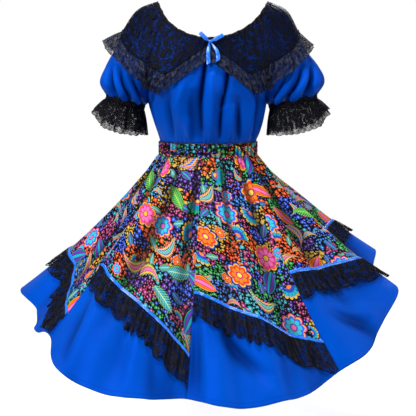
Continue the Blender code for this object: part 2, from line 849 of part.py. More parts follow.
def build_waist():
    """The printed waistband, gathered on its elastic, and the dark piping in the seam above it."""
    turn = 360.0 / (2 * WAIST_GATHERS)
    azimuths = [turn * (i + 0.5) for i in range(2 * WAIST_GATHERS)]
    inner, outer = [], []
    for z in (BAND_TOP_Z, BAND_BOTTOM_Z):
        inner.append([waist_oval(a, gathered_swell(a, 1.0), z) for a in azimuths])
        outer.append([waist_oval(a, gathered_swell(a, 1.0) + CLOTH, z) for a in azimuths])
    wall("waistband", inner, outer, "printed_cotton", closed=True)
    azimuths = [360.0 * i / PIPING_COLUMNS for i in range(PIPING_COLUMNS)]
    top = BODICE_BOTTOM_Z - SEAM_GAP
    inner, outer = [], []
    for z in (top, top - PIPING_HEIGHT):
        inner.append([waist_oval(a, PIPING_STAND_OFF, z) for a in azimuths])
        outer.append([waist_oval(a, PIPING_STAND_OFF + PIPING_WIDTH, z) for a in azimuths])
    wall("waist_piping", inner, outer, "navy_piping", closed=True)


class GoreSheets:
    """The two panels of one gore, on the skirt's form, with the slanted seam between them."""

    def __init__(self, gore, right_seam):
        self.gore = gore
        self.azimuths = steps(GORE_COLUMNS, gore.left_seam, right_seam)
        middle = (gore.left_seam + right_seam) / 2
        self.length = (skirt_form(middle, 1.0) - skirt_form(middle, 0.0)).length
        gap = SEAM_GAP * 0.65 / self.length
        self.printed = self.sheet([lambda s, r=r: (self.cut(s) - gap) * r for r in PRINT_ROWS])
        self.plain = self.sheet(
            [lambda s, r=r: self.cut(s) + gap + (1.0 - self.cut(s) - gap) * r for r in HEM_ROWS]
        )

    def cut(self, share):
        """The slanted seam's place down the skirt, at a share of the way across the gore."""
        level = self.gore.high + (self.gore.low - self.gore.high) * share
        return level - self.gore.bow * 4 * share * (1.0 - share)

    def sheet(self, rows):
        """A grid of the gore, where each row gives its place down the skirt for a share across."""
        points, normals = [], []
        for row in rows:
            line, out = [], []
            for i, azimuth in enumerate(self.azimuths):
                down = row(i / GORE_COLUMNS)
                a = math.radians(azimuth)
                outward = Vector((math.sin(a), -math.cos(a), 0.4))
                point = skirt_form(azimuth, down)
                normal = normal_of(
                    lambda u, v: skirt_form(math.degrees(u), v), a, down, outward
                )
                if i in (0, GORE_COLUMNS):
                    inwards = skirt_form(azimuth + (0.5 if i == 0 else -0.5), down) - point
                    point += inwards.normalized() * SEAM_GAP / 2
                line.append(point)
                out.append(normal)
            points.append(line)
            normals.append(out)
        return Sheet(points, normals)


def build_trim(sheets):
    """The satin fold on the slanted seam, which lies half on each panel."""
    inner, outer = [[], []], [[], []]
    last = len(PRINT_ROWS) - 1
    last_step = PRINT_ROWS[-1] - PRINT_ROWS[-2]
    for c in range(GORE_COLUMNS + 1):
        cut = sheets.cut(c / GORE_COLUMNS)
        above = TRIM_HALF_WIDTH / (sheets.length * cut * last_step)
        below = TRIM_HALF_WIDTH / (sheets.length * (1 - cut) * HEM_ROWS[1])
        for k, (point, normal) in enumerate((sheets.printed.at(last - above, c), sheets.plain.at(below, c))):
            inner[k].append(point + normal * (ON_TOP + TRIM_LIFT))
            outer[k].append(point + normal * (ON_TOP + TRIM_LIFT + LACE))
    wall(f"trim_{sheets.gore.name}", inner, outer, "blue_satin")


def build_skirt_lace(sheets):
    """The gathered lace that hangs below the trim, lifted off the blue panel in waves."""
    columns = SKIRT_LACE_WAVES * 4
    inner, outer = [], []
    for share in (0.0, 0.5, 1.0):
        low, high = [], []
        for i in range(columns + 1):
            across = i / columns
            depth = SKIRT_LACE_DEPTH * (1.0 + SKIRT_LACE_TIP * across**4)
            fallen = (TRIM_HALF_WIDTH + SEAM_GAP + depth * share) / sheets.length
            down = min(fallen / (1.0 - sheets.cut(across)), 0.985)
            row = float(np.interp(down, HEM_ROWS, range(len(HEM_ROWS))))
            wave = 0.5 + 0.5 * math.sin(math.pi / 2 * i)
            swell = SKIRT_LACE_SWELL * wave * (0.15 + 0.85 * share)
            lift = ON_TOP + 0.0006 + 0.0010 * share + swell
            low.append(sheets.plain.lifted(row, across * GORE_COLUMNS, lift))
            high.append(sheets.plain.lifted(row, across * GORE_COLUMNS, lift + LACE))
        inner.append(low)
        outer.append(high)
    wall(f"lace_{sheets.gore.name}", inner, outer, "black_lace")


def build_skirt():
    """The eight gores, each of two panels with the trim and the lace."""
    seams = [gore.left_seam for gore in GORES] + [LAST_SEAM]
    for gore, right_seam in zip(GORES, seams[1:]):
        sheets = GoreSheets(gore, right_seam)
        cloth_wall(f"print_{gore.name}", sheets.printed, "printed_cotton")
        cloth_wall(f"hem_{gore.name}", sheets.plain, "royal_blue_cotton")
        build_trim(sheets)
        build_skirt_lace(sheets)


def ribbon(name, path, across, pinch):
    """A flat satin ribbon along a path, its width along the directions across, narrowed where it is pinched."""
    inner, outer = [[], []], [[], []]
    for i, point in enumerate(path):
        before, after = path[max(i - 1, 0)], path[min(i + 1, len(path) - 1)]
        width = across.normalized() * RIBBON_WIDTH / 2 * pinch[i]
        out = (after - before).cross(width).normalized() * RIBBON
        for k, turn in enumerate((-1.0, 1.0)):
            inner[k].append(point + width * turn)
            outer[k].append(point + width * turn + out)
    wall(name, inner, outer, "blue_satin")


def pinched(reach):
    """The share of its width that a ribbon has, at a share of its length from the knot."""
    return 0.35 + 0.65 * eased(reach * 3.0)


def build_bow(upper):
    """The little satin bow at the front of the neck: a knot, two loops and two tails."""
    centre = upper.laid(1.0, 0.0, 0.06, BOW_STAND_OFF)
    centre = Vector((centre.x + 0.001, centre.y, BOW_Z))
    bpy.ops.mesh.primitive_cube_add(size=1.0, location=centre)
    knot = bpy.context.object
    knot.name = "bow_knot"
    for vertex in knot.data.vertices:
        vertex.co = Vector(c * k for c, k in zip(vertex.co, KNOT))
    soften = knot.modifiers.new("Bevel", "BEVEL")
    soften.width = 0.0018
    soften.segments = 2
    knot.data.materials.append(material("blue_satin"))
    tips = (("left", 1.0, Vector((0.029, -0.003, 0.0150))), ("right", -1.0, Vector((-0.022, -0.003, 0.0205))))
    for name, side, tip in tips:
        root = centre + Vector((side * (KNOT.x / 2 + 0.0011), 0.0, 0.0010))
        path = []
        pinch = []
        for step in steps(10):
            turn = math.pi / 2 * (1 - 2 * step)
            reach = math.cos(turn)
            spread = math.sin(turn) * (0.0012 + 0.0032 * math.sin(math.pi * reach))
            path.append(root + tip * reach + Vector((0.0, spread, 0.0)))
            pinch.append(pinched(reach))
        ribbon(f"bow_loop_{name}", path, Vector((tip.z, 0.0, -tip.x)), pinch)
    tails = (
        ("right", Vector((-0.0024, 0.0, -0.0046)), Vector((-0.0042, -0.0200, -0.0560)), -0.0015),
        ("left", Vector((0.0024, 0.0, -0.0046)), Vector((0.0190, -0.0190, -0.0490)), 0.0070),
    )
    for name, start, end, bend in tails:
        path = []
        for step in steps(6):
            point = centre + start.lerp(end, step)
            point += Vector((bend, -TAIL_BULGE, 0.0)) * math.sin(math.pi * step)
            path.append(point)
        ribbon(f"bow_tail_{name}", path, Vector((1.0, 0.0, 0.0)), [pinched(s) for s in steps(6)])


def main():
    """Builds every piece of the dress."""
    clear_scene()
    upper = Upper()
    build_bodice(upper)
    build_neckband(upper)
    for side, name in ((1.0, "left"), (-1.0, "right")):
        build_collar(upper, side, name)
        build_collar_ruffle(upper, side, name)
        build_cuff(side, name)
    build_waist()
    build_skirt()
    build_bow(upper)


main()
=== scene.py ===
"""The looks of a square dance dress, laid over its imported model.

Every piece of cloth is a grid that is moved on to the garment's smooth form, given its folds and a thin wall, and
dressed in a woven, printed, satin or lace finish. Lengths are in metres, +Z is up, the front faces -Y and the
wearer's left is +X. The tables of sections are those of the part's own source.
"""

from __future__ import annotations

import logging
import math
from dataclasses import dataclass, field
from enum import Enum
from typing import Mapping, Sequence

import bpy
import numpy as np
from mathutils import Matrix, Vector

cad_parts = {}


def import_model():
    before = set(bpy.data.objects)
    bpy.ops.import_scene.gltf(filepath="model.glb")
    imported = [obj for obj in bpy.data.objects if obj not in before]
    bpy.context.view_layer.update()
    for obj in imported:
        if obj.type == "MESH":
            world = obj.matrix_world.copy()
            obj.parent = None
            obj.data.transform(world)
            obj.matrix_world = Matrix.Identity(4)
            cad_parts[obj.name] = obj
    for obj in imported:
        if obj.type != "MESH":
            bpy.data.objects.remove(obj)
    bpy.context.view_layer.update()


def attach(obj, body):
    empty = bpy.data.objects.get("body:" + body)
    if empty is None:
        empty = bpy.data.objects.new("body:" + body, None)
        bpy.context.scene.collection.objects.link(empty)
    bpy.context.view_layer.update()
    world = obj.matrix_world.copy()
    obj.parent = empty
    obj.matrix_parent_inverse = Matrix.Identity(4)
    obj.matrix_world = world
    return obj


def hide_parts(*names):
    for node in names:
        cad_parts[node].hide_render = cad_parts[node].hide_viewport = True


log = logging.getLogger("dress")

CLOTH = 0.0015  # the wall of the part's own cloth, over which the collar and the trims lie
SEAM_GAP = 0.0003
ON_TOP = CLOTH + SEAM_GAP
SHELL = 0.0009  # the wall of the shown cloth
NET = 0.0005  # the wall of the shown lace
SHADE_FULL_DEPTH = 0.017  # a fold of this depth gets the darkest painted shade in its colour
ARMPIT, WAIST, CUFF = 1.0, 1.5, 1.15  # places down the bodice and the sleeve, where 0 is the neckline

WAIST_HALF_WIDTH = 0.1300
WAIST_HALF_DEPTH = 0.0980
BODICE_BOTTOM_Z = -0.3638
PIPING_HEIGHT = 0.0022
BAND_TOP_Z = BODICE_BOTTOM_Z - PIPING_HEIGHT - 2 * SEAM_GAP
BAND_BOTTOM_Z = -0.4000
SKIRT_TOP_Z = -0.4014

SLEEVE_SWING = 0.0125  # of both lower sleeves towards the wearer's left
SLEEVE_GATHERS = 8
SLEEVE_GATHER_DEPTH = 0.0048
CREASE_FOOT = 0.07  # over which a fold grows from the flat seam at the waist
WAIST_GATHERS = 24
WAIST_GATHER_DEPTH = 0.0022
GATHER_FADE = 0.22  # the place down the skirt where its gathers end
BAND = 0.314  # the distance between two bands of a wave texture whose scale is 1

Row = tuple[float, ...]
Ramp = tuple[tuple[float, str], ...]  # a colour ramp's places and sRGB hex codes
Source = object  # a node's socket, a number or a tuple of numbers


class Side(Enum):
    """A side of the dress, as its wearer has it, with the sign of its X."""

    LEFT = 1.0
    RIGHT = -1.0

    @property
    def label(self) -> str:
        """The side's name in the names of the pieces."""
        return self.name.lower()


class Held(Enum):
    """How a sheet of cloth is held."""

    GATHERED = "gathered"
    HUNG = "hung"
    LAID = "laid"
    FOLDED = "folded"


@dataclass(frozen=True)
class Curve:
    """A smooth curve through the rows of a table, whose first column is the place along it."""

    rows: tuple[Row, ...]

    def at(self, place: np.ndarray) -> np.ndarray:
        """Reads the table between its rows.

        Args:
            place: Where to read, an array of any shape.

        Returns:
            The other columns' values, one array of the same shape for each column.
        """
        table = np.array(self.rows, float)
        knots, values = table[:, 0], table[:, 1:]
        slopes = np.gradient(values, knots, axis=0)
        place = np.clip(np.asarray(place, float), knots[0], knots[-1])
        i = np.clip(np.searchsorted(knots, place) - 1, 0, len(knots) - 2)
        span = (knots[i + 1] - knots[i])[..., None]
        s = (place - knots[i])[..., None] / span
        found = (
            (2 * s**3 - 3 * s**2 + 1) * values[i]
            + (s**3 - 2 * s**2 + s) * span * slopes[i]
            + (3 * s**2 - 2 * s**3) * values[i + 1]
            + (s**3 - s**2) * span * slopes[i + 1]
        )
        return np.moveaxis(found, -1, 0)


def eased(value: np.ndarray) -> np.ndarray:
    """A smooth step from 0 to 1."""
    s = np.clip(value, 0.0, 1.0)
    return s * s * (3 - 2 * s)


def bump_at(value: np.ndarray, middle: float, width: float) -> np.ndarray:
    """A soft hill of height 1 round a middle."""
    return np.exp(-(((value - middle) / width) ** 2))


def stacked(x: np.ndarray, y: np.ndarray, z: np.ndarray) -> np.ndarray:
    """Points made of their three coordinates, which may differ in shape."""
    return np.stack(np.broadcast_arrays(x, y, z), axis=-1)


def smooth_noise(u: np.ndarray, v: np.ndarray, seed: float) -> np.ndarray:
    """A gentle uneven field between about -1 and 1, made of a few slanted waves."""
    waves = ((1.0, 0.4, 0.0), (0.7, -1.3, 1.7), (1.9, 0.8, 4.1), (-1.4, 2.1, 2.6))
    return sum(np.sin(a * u + b * v + c + seed) for a, b, c in waves) / len(waves)


# height, and the dress's shift towards the wearer's left there
LEAN = Curve(
    ((-0.400, 0.0), (-0.362, 0.0), (-0.262, -0.003), (-0.170, 0.0015), (-0.080, 0.006), (0.0, 0.0125), (0.030, 0.015))
)
# place down, the outer line's x and z, half the depth, how far round the arm in degrees, the seam's x and z
SLEEVE = Curve(
    (
        (0.00, 0.1460, 0.000, 0.105, 30.0, 0.1266, -0.0320),
        (0.20, 0.1950, -0.022, 0.098, 46.0, 0.1370, -0.0750),
        (0.40, 0.2300, -0.074, 0.094, 66.0, 0.1450, -0.1180),
        (0.60, 0.2570, -0.126, 0.092, 94.0, 0.1500, -0.1620),
        (0.80, 0.2790, -0.170, 0.090, 134.0, 0.1550, -0.2120),
        (1.00, 0.2915, -0.209, 0.080, 180.0, 0.1590, -0.2580),
        (1.15, 0.2800, -0.239, 0.056, 180.0, 0.1700, -0.2685),
    )
)
# place down, the seam's x and z
SIDE_SEAM = Curve(((ARMPIT, 0.1590, -0.2580), (1.25, 0.1450, -0.3110), (WAIST, WAIST_HALF_WIDTH, BODICE_BOTTOM_Z)))
# place down, the centre line's y and z, half the angle that the section spans
FRONT_CENTRE = Curve(
    (
        (0.00, -0.105, -0.097, 60.0),
        (0.20, -0.113, -0.125, 64.0),
        (0.40, -0.123, -0.157, 68.0),
        (0.60, -0.131, -0.191, 74.0),
        (0.80, -0.135, -0.226, 82.0),
        (ARMPIT, -0.133, -0.262, 90.0),
        (1.25, -0.123, -0.314, 90.0),
        (WAIST, -WAIST_HALF_DEPTH, BODICE_BOTTOM_Z, 90.0),
    )
)
BACK_CENTRE = Curve(
    (
        (0.00, 0.105, -0.100, 60.0),
        (0.20, 0.109, -0.128, 64.0),
        (0.40, 0.113, -0.159, 68.0),
        (0.60, 0.115, -0.192, 74.0),
        (0.80, 0.114, -0.226, 82.0),
        (ARMPIT, 0.112, -0.262, 90.0),
        (1.25, 0.106, -0.314, 90.0),
        (WAIST, WAIST_HALF_DEPTH, BODICE_BOTTOM_Z, 90.0),
    )
)
# azimuth in degrees from the front centre towards the wearer's left, reach from the axis, height
HEM_FOLDS: tuple[Row, ...] = (
    (-162, 0.462, -0.915),
    (-140, 0.430, -0.885),
    (-121, 0.500, -0.828),
    (-105, 0.482, -0.794),
    (-92, 0.530, -0.784),
    (-76, 0.474, -0.808),
    (-65, 0.492, -0.830),
    (-53, 0.480, -0.824),
    (-43, 0.526, -0.857),
    (-30, 0.484, -0.914),
    (-18, 0.452, -0.920),
    (-7, 0.414, -0.928),
    (4, 0.440, -0.936),
    (13, 0.446, -0.940),
    (22, 0.455, -0.932),
    (31, 0.454, -0.927),
    (43, 0.460, -0.894),
    (51, 0.488, -0.865),
    (66, 0.495, -0.805),
    (77, 0.514, -0.756),
    (87, 0.474, -0.729),
    (98, 0.490, -0.719),
    (112, 0.530, -0.711),
    (131, 0.462, -0.780),
    (150, 0.482, -0.868),
    (176, 0.420, -0.920),
)
HEM = Curve(
    (
        *((a - 360, r, h) for a, r, h in HEM_FOLDS[-3:]),
        *HEM_FOLDS,
        *((a + 360, r, h) for a, r, h in HEM_FOLDS[:3]),
    )
)
# around the neck from 0 at the front centre to 3 at the back one, place down of the collar's lower seam
COLLAR_EDGE = Curve(
    (
        (0.00, 0.110),
        (0.17, 0.280),
        (0.36, 0.455),
        (0.56, 0.628),
        (0.76, 0.622),
        (1.00, 0.608),
        (1.15, 0.572),
        (1.30, 0.490),
        (1.50, 0.405),
        (1.70, 0.470),
        (1.85, 0.545),
        (2.00, 0.570),
        (2.50, 0.560),
        (3.00, 0.540),
    )
)
# around the neck, and the metres of cloth between the neckline and place 1
CLOTH_LENGTH = ((0.0, 1.0, 1.5, 2.0, 3.0), (0.170, 0.245, 0.265, 0.245, 0.165))


@dataclass(frozen=True)
class Crease:
    """A soft fold between two places on a panel, given in shares of its width and height."""

    start: tuple[float, float]
    end: tuple[float, float]
    height: float  # a ridge above 0, a trough below it
    width: float
    skew: float = 0.0  # above 0 the fold is wider towards the wearer's left, below 0 towards the right

    def relief(self, across: np.ndarray, down: np.ndarray) -> np.ndarray:
        """How far the fold lifts the cloth.

        Args:
            across: Shares of the panel's width.
            down: Shares of the panel's height.

        Returns:
            The lift at each place, in metres.
        """
        ax, ay = self.start
        dx, dy = self.end[0] - ax, self.end[1] - ay
        along = ((across - ax) * dx + (down - ay) * dy) / (dx * dx + dy * dy)
        near = np.clip(along, 0.0, 1.0)
        distance = np.hypot(across - ax - near * dx, down - ay - near * dy)
        beside = (across - ax) * dy - (down - ay) * dx
        width = self.width * (1.0 + self.skew * np.sign(beside * dy))
        return self.height * np.exp(-((distance / width) ** 2)) * (1.0 - 0.6 * np.abs(2 * near - 1) ** 2)


def creased(creases: Sequence[Crease], across: np.ndarray, down: np.ndarray) -> np.ndarray:
    """The lift of several folds together, in metres."""
    return sum((c.relief(across, down) for c in creases), np.zeros(np.broadcast(across, down).shape))


def seam_edge(down: np.ndarray) -> tuple[np.ndarray, np.ndarray, np.ndarray]:
    """The raglan seam down to the armpit, and the side seam below it.

    Args:
        down: Places from the neckline to the waist.

    Returns:
        The seam's x, its half depth and its z at each place.
    """
    _, _, depth, reach, edge_x, edge_z = SLEEVE.at(np.minimum(down, CUFF))
    x, z = SIDE_SEAM.at(down)
    above = down < ARMPIT
    seam_depth = depth * np.sin(np.radians(np.minimum(reach, 180.0)))
    return np.where(above, edge_x, x), np.where(above, seam_depth, 0.0), np.where(above, edge_z, z)


def leaning(points: np.ndarray) -> np.ndarray:
    """The points, shifted sideways with their height."""
    points[..., 0] += LEAN.at(points[..., 2])[0]
    return points


# the folds that the part's own bodice has: middle across, height, width, how far they rise from the waist
FRONT_CREASES: tuple[Row, ...] = (
    (-0.72, -0.0060, 0.10, 0.55),
    (-0.45, 0.0040, 0.09, 0.70),
    (-0.18, -0.0030, 0.08, 0.80),
    (0.04, 0.0040, 0.07, 0.90),
    (0.24, -0.0035, 0.08, 0.80),
    (0.50, 0.0035, 0.09, 0.65),
    (0.74, -0.0045, 0.10, 0.55),
)
BACK_CREASES: tuple[Row, ...] = (
    (-0.60, -0.0040, 0.12, 0.60),
    (-0.25, 0.0040, 0.11, 0.75),
    (0.10, -0.0035, 0.11, 0.80),
    (0.40, 0.0035, 0.11, 0.65),
    (0.72, -0.0040, 0.12, 0.55),
)


def bodice_form(front: bool, across: np.ndarray, down: np.ndarray) -> np.ndarray:
    """Points of the bodice's front or back.

    Args:
        front: True for the front panel.
        across: From -1 at the wearer's right seam to 1 at the left one.
        down: Places from the neckline to the waist.

    Returns:
        The points, with one more axis of length 3.
    """
    y, z, half = (FRONT_CENTRE if front else BACK_CENTRE).at(down)
    edge_x, edge_depth, edge_z = seam_edge(down)
    edge_y = -edge_depth if front else edge_depth
    reach = np.radians(np.minimum(half, 90.0))
    angle = across * reach
    share = (np.cos(angle) - np.cos(reach)) / (1.0 - np.cos(reach))
    foot = 1.0 - np.exp(-np.maximum(WAIST - down, 0.0) / CREASE_FOOT)
    swell = np.zeros(np.broadcast(across, down).shape)
    for middle, height, width, rise in FRONT_CREASES if front else BACK_CREASES:
        swell += height * bump_at(across, middle, width) * eased((down - (WAIST - rise)) / rise) * foot
    face = -1.0 if front else 1.0
    return leaning(
        stacked(
            edge_x * np.sin(angle) / np.sin(reach),
            edge_y + (y - edge_y) * share + swell * face,
            edge_z + (z - edge_z) * share,
        )
    )


def sleeve_form(side: Side, across: np.ndarray, down: np.ndarray) -> np.ndarray:
    """Points of one sleeve.

    Args:
        side: The sleeve's side.
        across: From -1 at the front seam, over the arm, to 1 at the back seam.
        down: Places from the neckline to the cuff.

    Returns:
        The points, with one more axis of length 3.
    """
    top_x, top_z, depth, half, edge_x, edge_z = SLEEVE.at(down)
    reach = np.where(down < ARMPIT, np.radians(np.minimum(half, 180.0)), math.pi)
    angle = across * reach
    share = (1.0 - np.cos(angle)) / (1.0 - np.cos(reach))
    top_x = top_x + side.value * SLEEVE_SWING * eased((down - 0.45) / 0.5)
    lower = np.clip((down - 0.55) / (ARMPIT - 0.55), 0.0, 1.0)
    gather = SLEEVE_GATHER_DEPTH * lower**2 * (1.0 - 0.5 * eased((down - ARMPIT) / 0.15))
    gather = gather * np.cos(math.pi * SLEEVE_GATHERS * across) * (1.0 - np.abs(across) ** 6)
    points = stacked(
        top_x + (edge_x - top_x) * share + gather * np.cos(angle) * 0.97,
        depth * np.sin(angle) + gather * np.sin(angle),
        top_z + (edge_z - top_z) * share + gather * np.cos(angle) * 0.25,
    )
    points[..., 0] *= side.value
    return leaning(points)


def skirt_form(azimuth: np.ndarray, down: np.ndarray) -> np.ndarray:
    """Points of the skirt.

    Args:
        azimuth: Degrees from the front centre towards the wearer's left.
        down: From 0 at the waistband to 1 at the hem.

    Returns:
        The points, with one more axis of length 3.
    """
    a = np.radians(azimuth)
    reach, height = HEM.at((azimuth + 180.0) % 360.0 - 180.0)
    fade = np.maximum(0.0, 1.0 - down / GATHER_FADE)
    swell = WAIST_GATHER_DEPTH * (1.0 + np.sin(a * WAIST_GATHERS) * fade)
    out = 0.84 * down + 0.16 * down**2
    fall = 1.10 * down - 0.10 * down**2
    top_x, top_y = (WAIST_HALF_WIDTH + swell) * np.sin(a), -(WAIST_HALF_DEPTH + swell) * np.cos(a)
    return stacked(
        top_x + (reach * np.sin(a) - top_x) * out,
        top_y + (-reach * np.cos(a) - top_y) * out,
        SKIRT_TOP_Z + (height - SKIRT_TOP_Z) * fall,
    )


def normals_of(points: np.ndarray, outward: np.ndarray) -> np.ndarray:
    """The unit normals of a grid of points.

    Args:
        points: The grid.
        outward: A point that the normals face away from, or one such point for each point.

    Returns:
        A normal for each point.
    """
    normals = np.cross(np.gradient(points, axis=1), np.gradient(points, axis=0))
    normals /= np.maximum(np.linalg.norm(normals, axis=-1, keepdims=True), 1e-12)
    facing = np.sign(np.sum(normals * (points - outward)))
    return normals * facing


def lengths(points: np.ndarray, axis: int) -> np.ndarray:
    """The length along a grid's lines from their start to each point.

    Args:
        points: The grid.
        axis: 0 for the lines that run down, 1 for those that run across.

    Returns:
        The lengths, in metres.
    """
    steps = np.linalg.norm(np.diff(points, axis=axis), axis=-1)
    first = np.zeros_like(np.take(steps, [0], axis=axis))
    return np.concatenate([first, np.cumsum(steps, axis=axis)], axis=axis)


def flat_from(points: np.ndarray, gathered: bool = False) -> np.ndarray:
    """The places of a grid's points on the flat cloth, in metres.

    Args:
        points: The grid, each row lower down than the one before it.
        gathered: True for cloth that is as wide at its gathered top as at its free edge.

    Returns:
        Two numbers for each point: across from the middle, and down.
    """
    across, down = lengths(points, 1), lengths(points, 0)
    if gathered:
        across = np.broadcast_to(across[-1], across.shape)
    middle = across.shape[1] // 2
    centred = across - across[:, middle : middle + 1]
    fall = np.broadcast_to(down.mean(axis=1, keepdims=True), down.shape)
    return np.stack([centred, -fall], axis=-1)


def upper_point(side: Side, around: np.ndarray, down: np.ndarray) -> np.ndarray:
    """Points of the blouse's cloth, which also carries the collar.

    Args:
        side: The side of the dress.
        around: From 0 at the front centre, over the raglan seams at 1 and 2, to 3 at the back centre.
        down: Places from the neckline, below 0 above it.

    Returns:
        The points, with one more axis of length 3.
    """
    around, down = np.broadcast_arrays(np.asarray(around, float), np.asarray(down, float))

    def at(place: np.ndarray) -> np.ndarray:
        """The point at a place that is below the neckline."""
        front = bodice_form(True, side.value * np.minimum(around, 1.0), place)
        sleeve = sleeve_form(side, np.clip(2 * around - 3, -1.0, 1.0), place)
        back = bodice_form(False, side.value * (3 - np.maximum(around, 2.0)), place)
        on_bodice = np.where((around <= 1.0)[..., None], front, back)
        return np.where(((around > 1.0) & (around < 2.0))[..., None], sleeve, on_bodice)

    found, lower = at(np.maximum(down, 0.0)), at(np.full(down.shape, 1 / 6))
    return found + (found - lower) * (np.maximum(-down, 0.0) * 6)[..., None]


def laid(side: Side, around: np.ndarray, down: np.ndarray, lift: np.ndarray) -> np.ndarray:
    """Points at a height above the blouse's cloth.

    Args:
        side: The side of the dress.
        around: From 0 at the front centre to 3 at the back centre.
        down: Places from the neckline, below 0 above it.
        lift: The height, in metres.

    Returns:
        The points, with one more axis of length 3.
    """
    around, down = np.broadcast_arrays(np.asarray(around, float), np.asarray(down, float))
    along = upper_point(side, around + 0.03, down) - upper_point(side, around - 0.03, down)
    fall = upper_point(side, around, down + 0.01) - upper_point(side, around, down - 0.01)
    normal = np.cross(along, fall) * -side.value
    normal /= np.maximum(np.linalg.norm(normal, axis=-1, keepdims=True), 1e-12)
    return upper_point(side, around, down) + normal * np.asarray(lift)[..., None]


def bridge(around: np.ndarray) -> np.ndarray:
    """How far the collar stands off the hollow beside a raglan seam."""
    return 0.0060 * (bump_at(around, 1.0, 0.16) + bump_at(around, 2.0, 0.16))


def collar_edge(around: np.ndarray) -> np.ndarray:
    """The place down of the collar's lower seam."""
    return COLLAR_EDGE.at(around)[0]


def collar_base(around: np.ndarray) -> np.ndarray:
    """The height of the collar's inner face above the cloth's form."""
    return ON_TOP + 0.0014 + bridge(around)


def down_for(around: np.ndarray, distance: np.ndarray) -> np.ndarray:
    """A distance down the blouse's cloth, in metres, as the place it reaches from the neckline."""
    return distance / np.interp(around, *CLOTH_LENGTH)


def from_axis(points: np.ndarray) -> np.ndarray:
    """The ways to points from the dress's upright axis, at the points' mean height."""
    return points - points.mean(axis=(0, 1)) * np.array([0.0, 0.0, 1.0])


def deselect() -> None:
    """Leaves object mode with nothing selected."""
    if bpy.context.mode != "OBJECT":
        bpy.ops.object.mode_set(mode="OBJECT")
    bpy.ops.object.select_all(action="DESELECT")


def apply_modifier(item: bpy.types.Object, name: str) -> None:
    """Applies one of a piece's modifiers.

    Args:
        item: The piece.
        name: The modifier's name.
    """
    deselect()
    item.select_set(True)
    bpy.context.view_layer.objects.active = item
    bpy.ops.object.modifier_apply(modifier=name)


@dataclass
class Cloth:
    """A piece of cloth: a grid of points on the garment's form, and how it was cut and is held."""

    name: str
    points: np.ndarray  # rows, columns, 3
    finish: "Finish"
    flat: tuple[float, float]  # the cut's width and length
    held: Held
    outward: np.ndarray | Sequence[float]  # a direction that the cloth's outside faces, or one for each point
    share: float = 1.0  # of the flat rectangle that the cut keeps
    wall: float = SHELL
    closed: bool = False  # its last column is its first
    gathered: bool = False  # as wide at its gathered top as at its free edge
    pattern_at: tuple[float, float] = (0.0, 0.0)  # where on the flat cloth the piece was cut
    rests_on: tuple[str, ...] = ()
    edges: np.ndarray | None = None  # the distance from the free edge, in metres
    relief: np.ndarray | None = None  # how far the folds lift the cloth, in metres, which sets the painted shade in them; some pieces give it stronger than their folds

    def build(self) -> None:
        """Makes the piece, dressed and riding on the dress's one body."""
        points, flat = self.points, flat_from(self.points, self.gathered) + np.array(self.pattern_at)
        edges = np.zeros(points.shape[:2]) if self.edges is None else self.edges
        # the share of painted shade at each point, from the depth of its fold
        depth = np.zeros(points.shape[:2]) if self.relief is None else np.clip(-self.relief / SHADE_FULL_DEPTH, 0.0, 1.0)
        facing = np.cross(np.gradient(points, axis=1), np.gradient(points, axis=0))
        if np.sum(facing * np.asarray(self.outward)) < 0:
            points, flat, edges, depth = (grid[:, ::-1] for grid in (points, flat, edges, depth))
        rows, columns = points.shape[:2]
        deselect()
        bpy.ops.mesh.primitive_grid_add(x_subdivisions=columns - 1, y_subdivisions=rows - 1, size=1.0)
        item = bpy.context.object
        item.name = item.data.name = f"{self.name}_cloth"
        mesh = item.data
        mesh.vertices.foreach_set("co", points.reshape(-1))
        corners = np.empty(len(mesh.loops), np.int32)
        mesh.loops.foreach_get("vertex_index", corners)
        layer = mesh.uv_layers.active
        layer.name = "cloth"
        layer.data.foreach_set("uv", flat.reshape(-1, 2)[corners].reshape(-1))
        # edge is the distance from the free edge; fold is the share of painted shade in the folds
        for title, values in (("edge", edges), ("fold", depth)):
            mesh.attributes.new(title, "FLOAT", "POINT").data.foreach_set("value", values.reshape(-1))
        if self.closed:
            bpy.ops.object.mode_set(mode="EDIT")
            bpy.ops.mesh.select_all(action="SELECT")
            bpy.ops.mesh.remove_doubles(threshold=0.00002)
            bpy.ops.object.mode_set(mode="OBJECT")
        thicken = item.modifiers.new("wall", "SOLIDIFY")
        thicken.thickness, thicken.offset = self.wall, 1.0
        apply_modifier(item, "wall")
        item.data.shade_smooth()
        self.finish.dress(item)
        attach(item, "root")
        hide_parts(self.name)
        log.info("%s: %d faces", self.name, len(item.data.polygons))


def srgb(code: str) -> tuple[float, float, float, float]:
    """The linear colour of an sRGB hex code.

    Args:
        code: Six hex digits, such as 0057E0.

    Returns:
        Red, green and blue, and an alpha of 1.
    """
    values = (int(code[i : i + 2], 16) / 255 for i in (0, 2, 4))
    linear = (v / 12.92 if v <= 0.04045 else ((v + 0.055) / 1.055) ** 2.4 for v in values)
    return (*linear, 1.0)


def add_node(
    tree: bpy.types.NodeTree,
    kind: str,
    inputs: Mapping[int | str, Source] | None = None,
    stops: Sequence[tuple[float, str]] = (),
    **settings: object,
) -> bpy.types.bpy_prop_collection:
    """Adds a node.

    Args:
        tree: The tree that it goes into.
        kind: Its type, without ShaderNode.
        inputs: Its inputs by index or name, each a value or a socket to link.
        stops: A colour ramp's places and sRGB hex codes. It blends them unless the first code ends in a bar.
        settings: Its own settings.

    Returns:
        The node's outputs.
    """
    made = tree.nodes.new("ShaderNode" + kind)
    for name, value in settings.items():
        setattr(made, name, value)
    for key, value in (inputs or {}).items():
        if isinstance(value, bpy.types.NodeSocket):
            tree.links.new(value, made.inputs[key])
        else:
            made.inputs[key].default_value = value
    for i, (place, code) in enumerate(stops):
        stop = made.color_ramp.elements[i] if i < 2 else made.color_ramp.elements.new(place)
        stop.position, stop.color = place, srgb(code.rstrip("|"))
    if stops and stops[0][1].endswith("|"):
        made.color_ramp.interpolation = "CONSTANT"
    return made.outputs


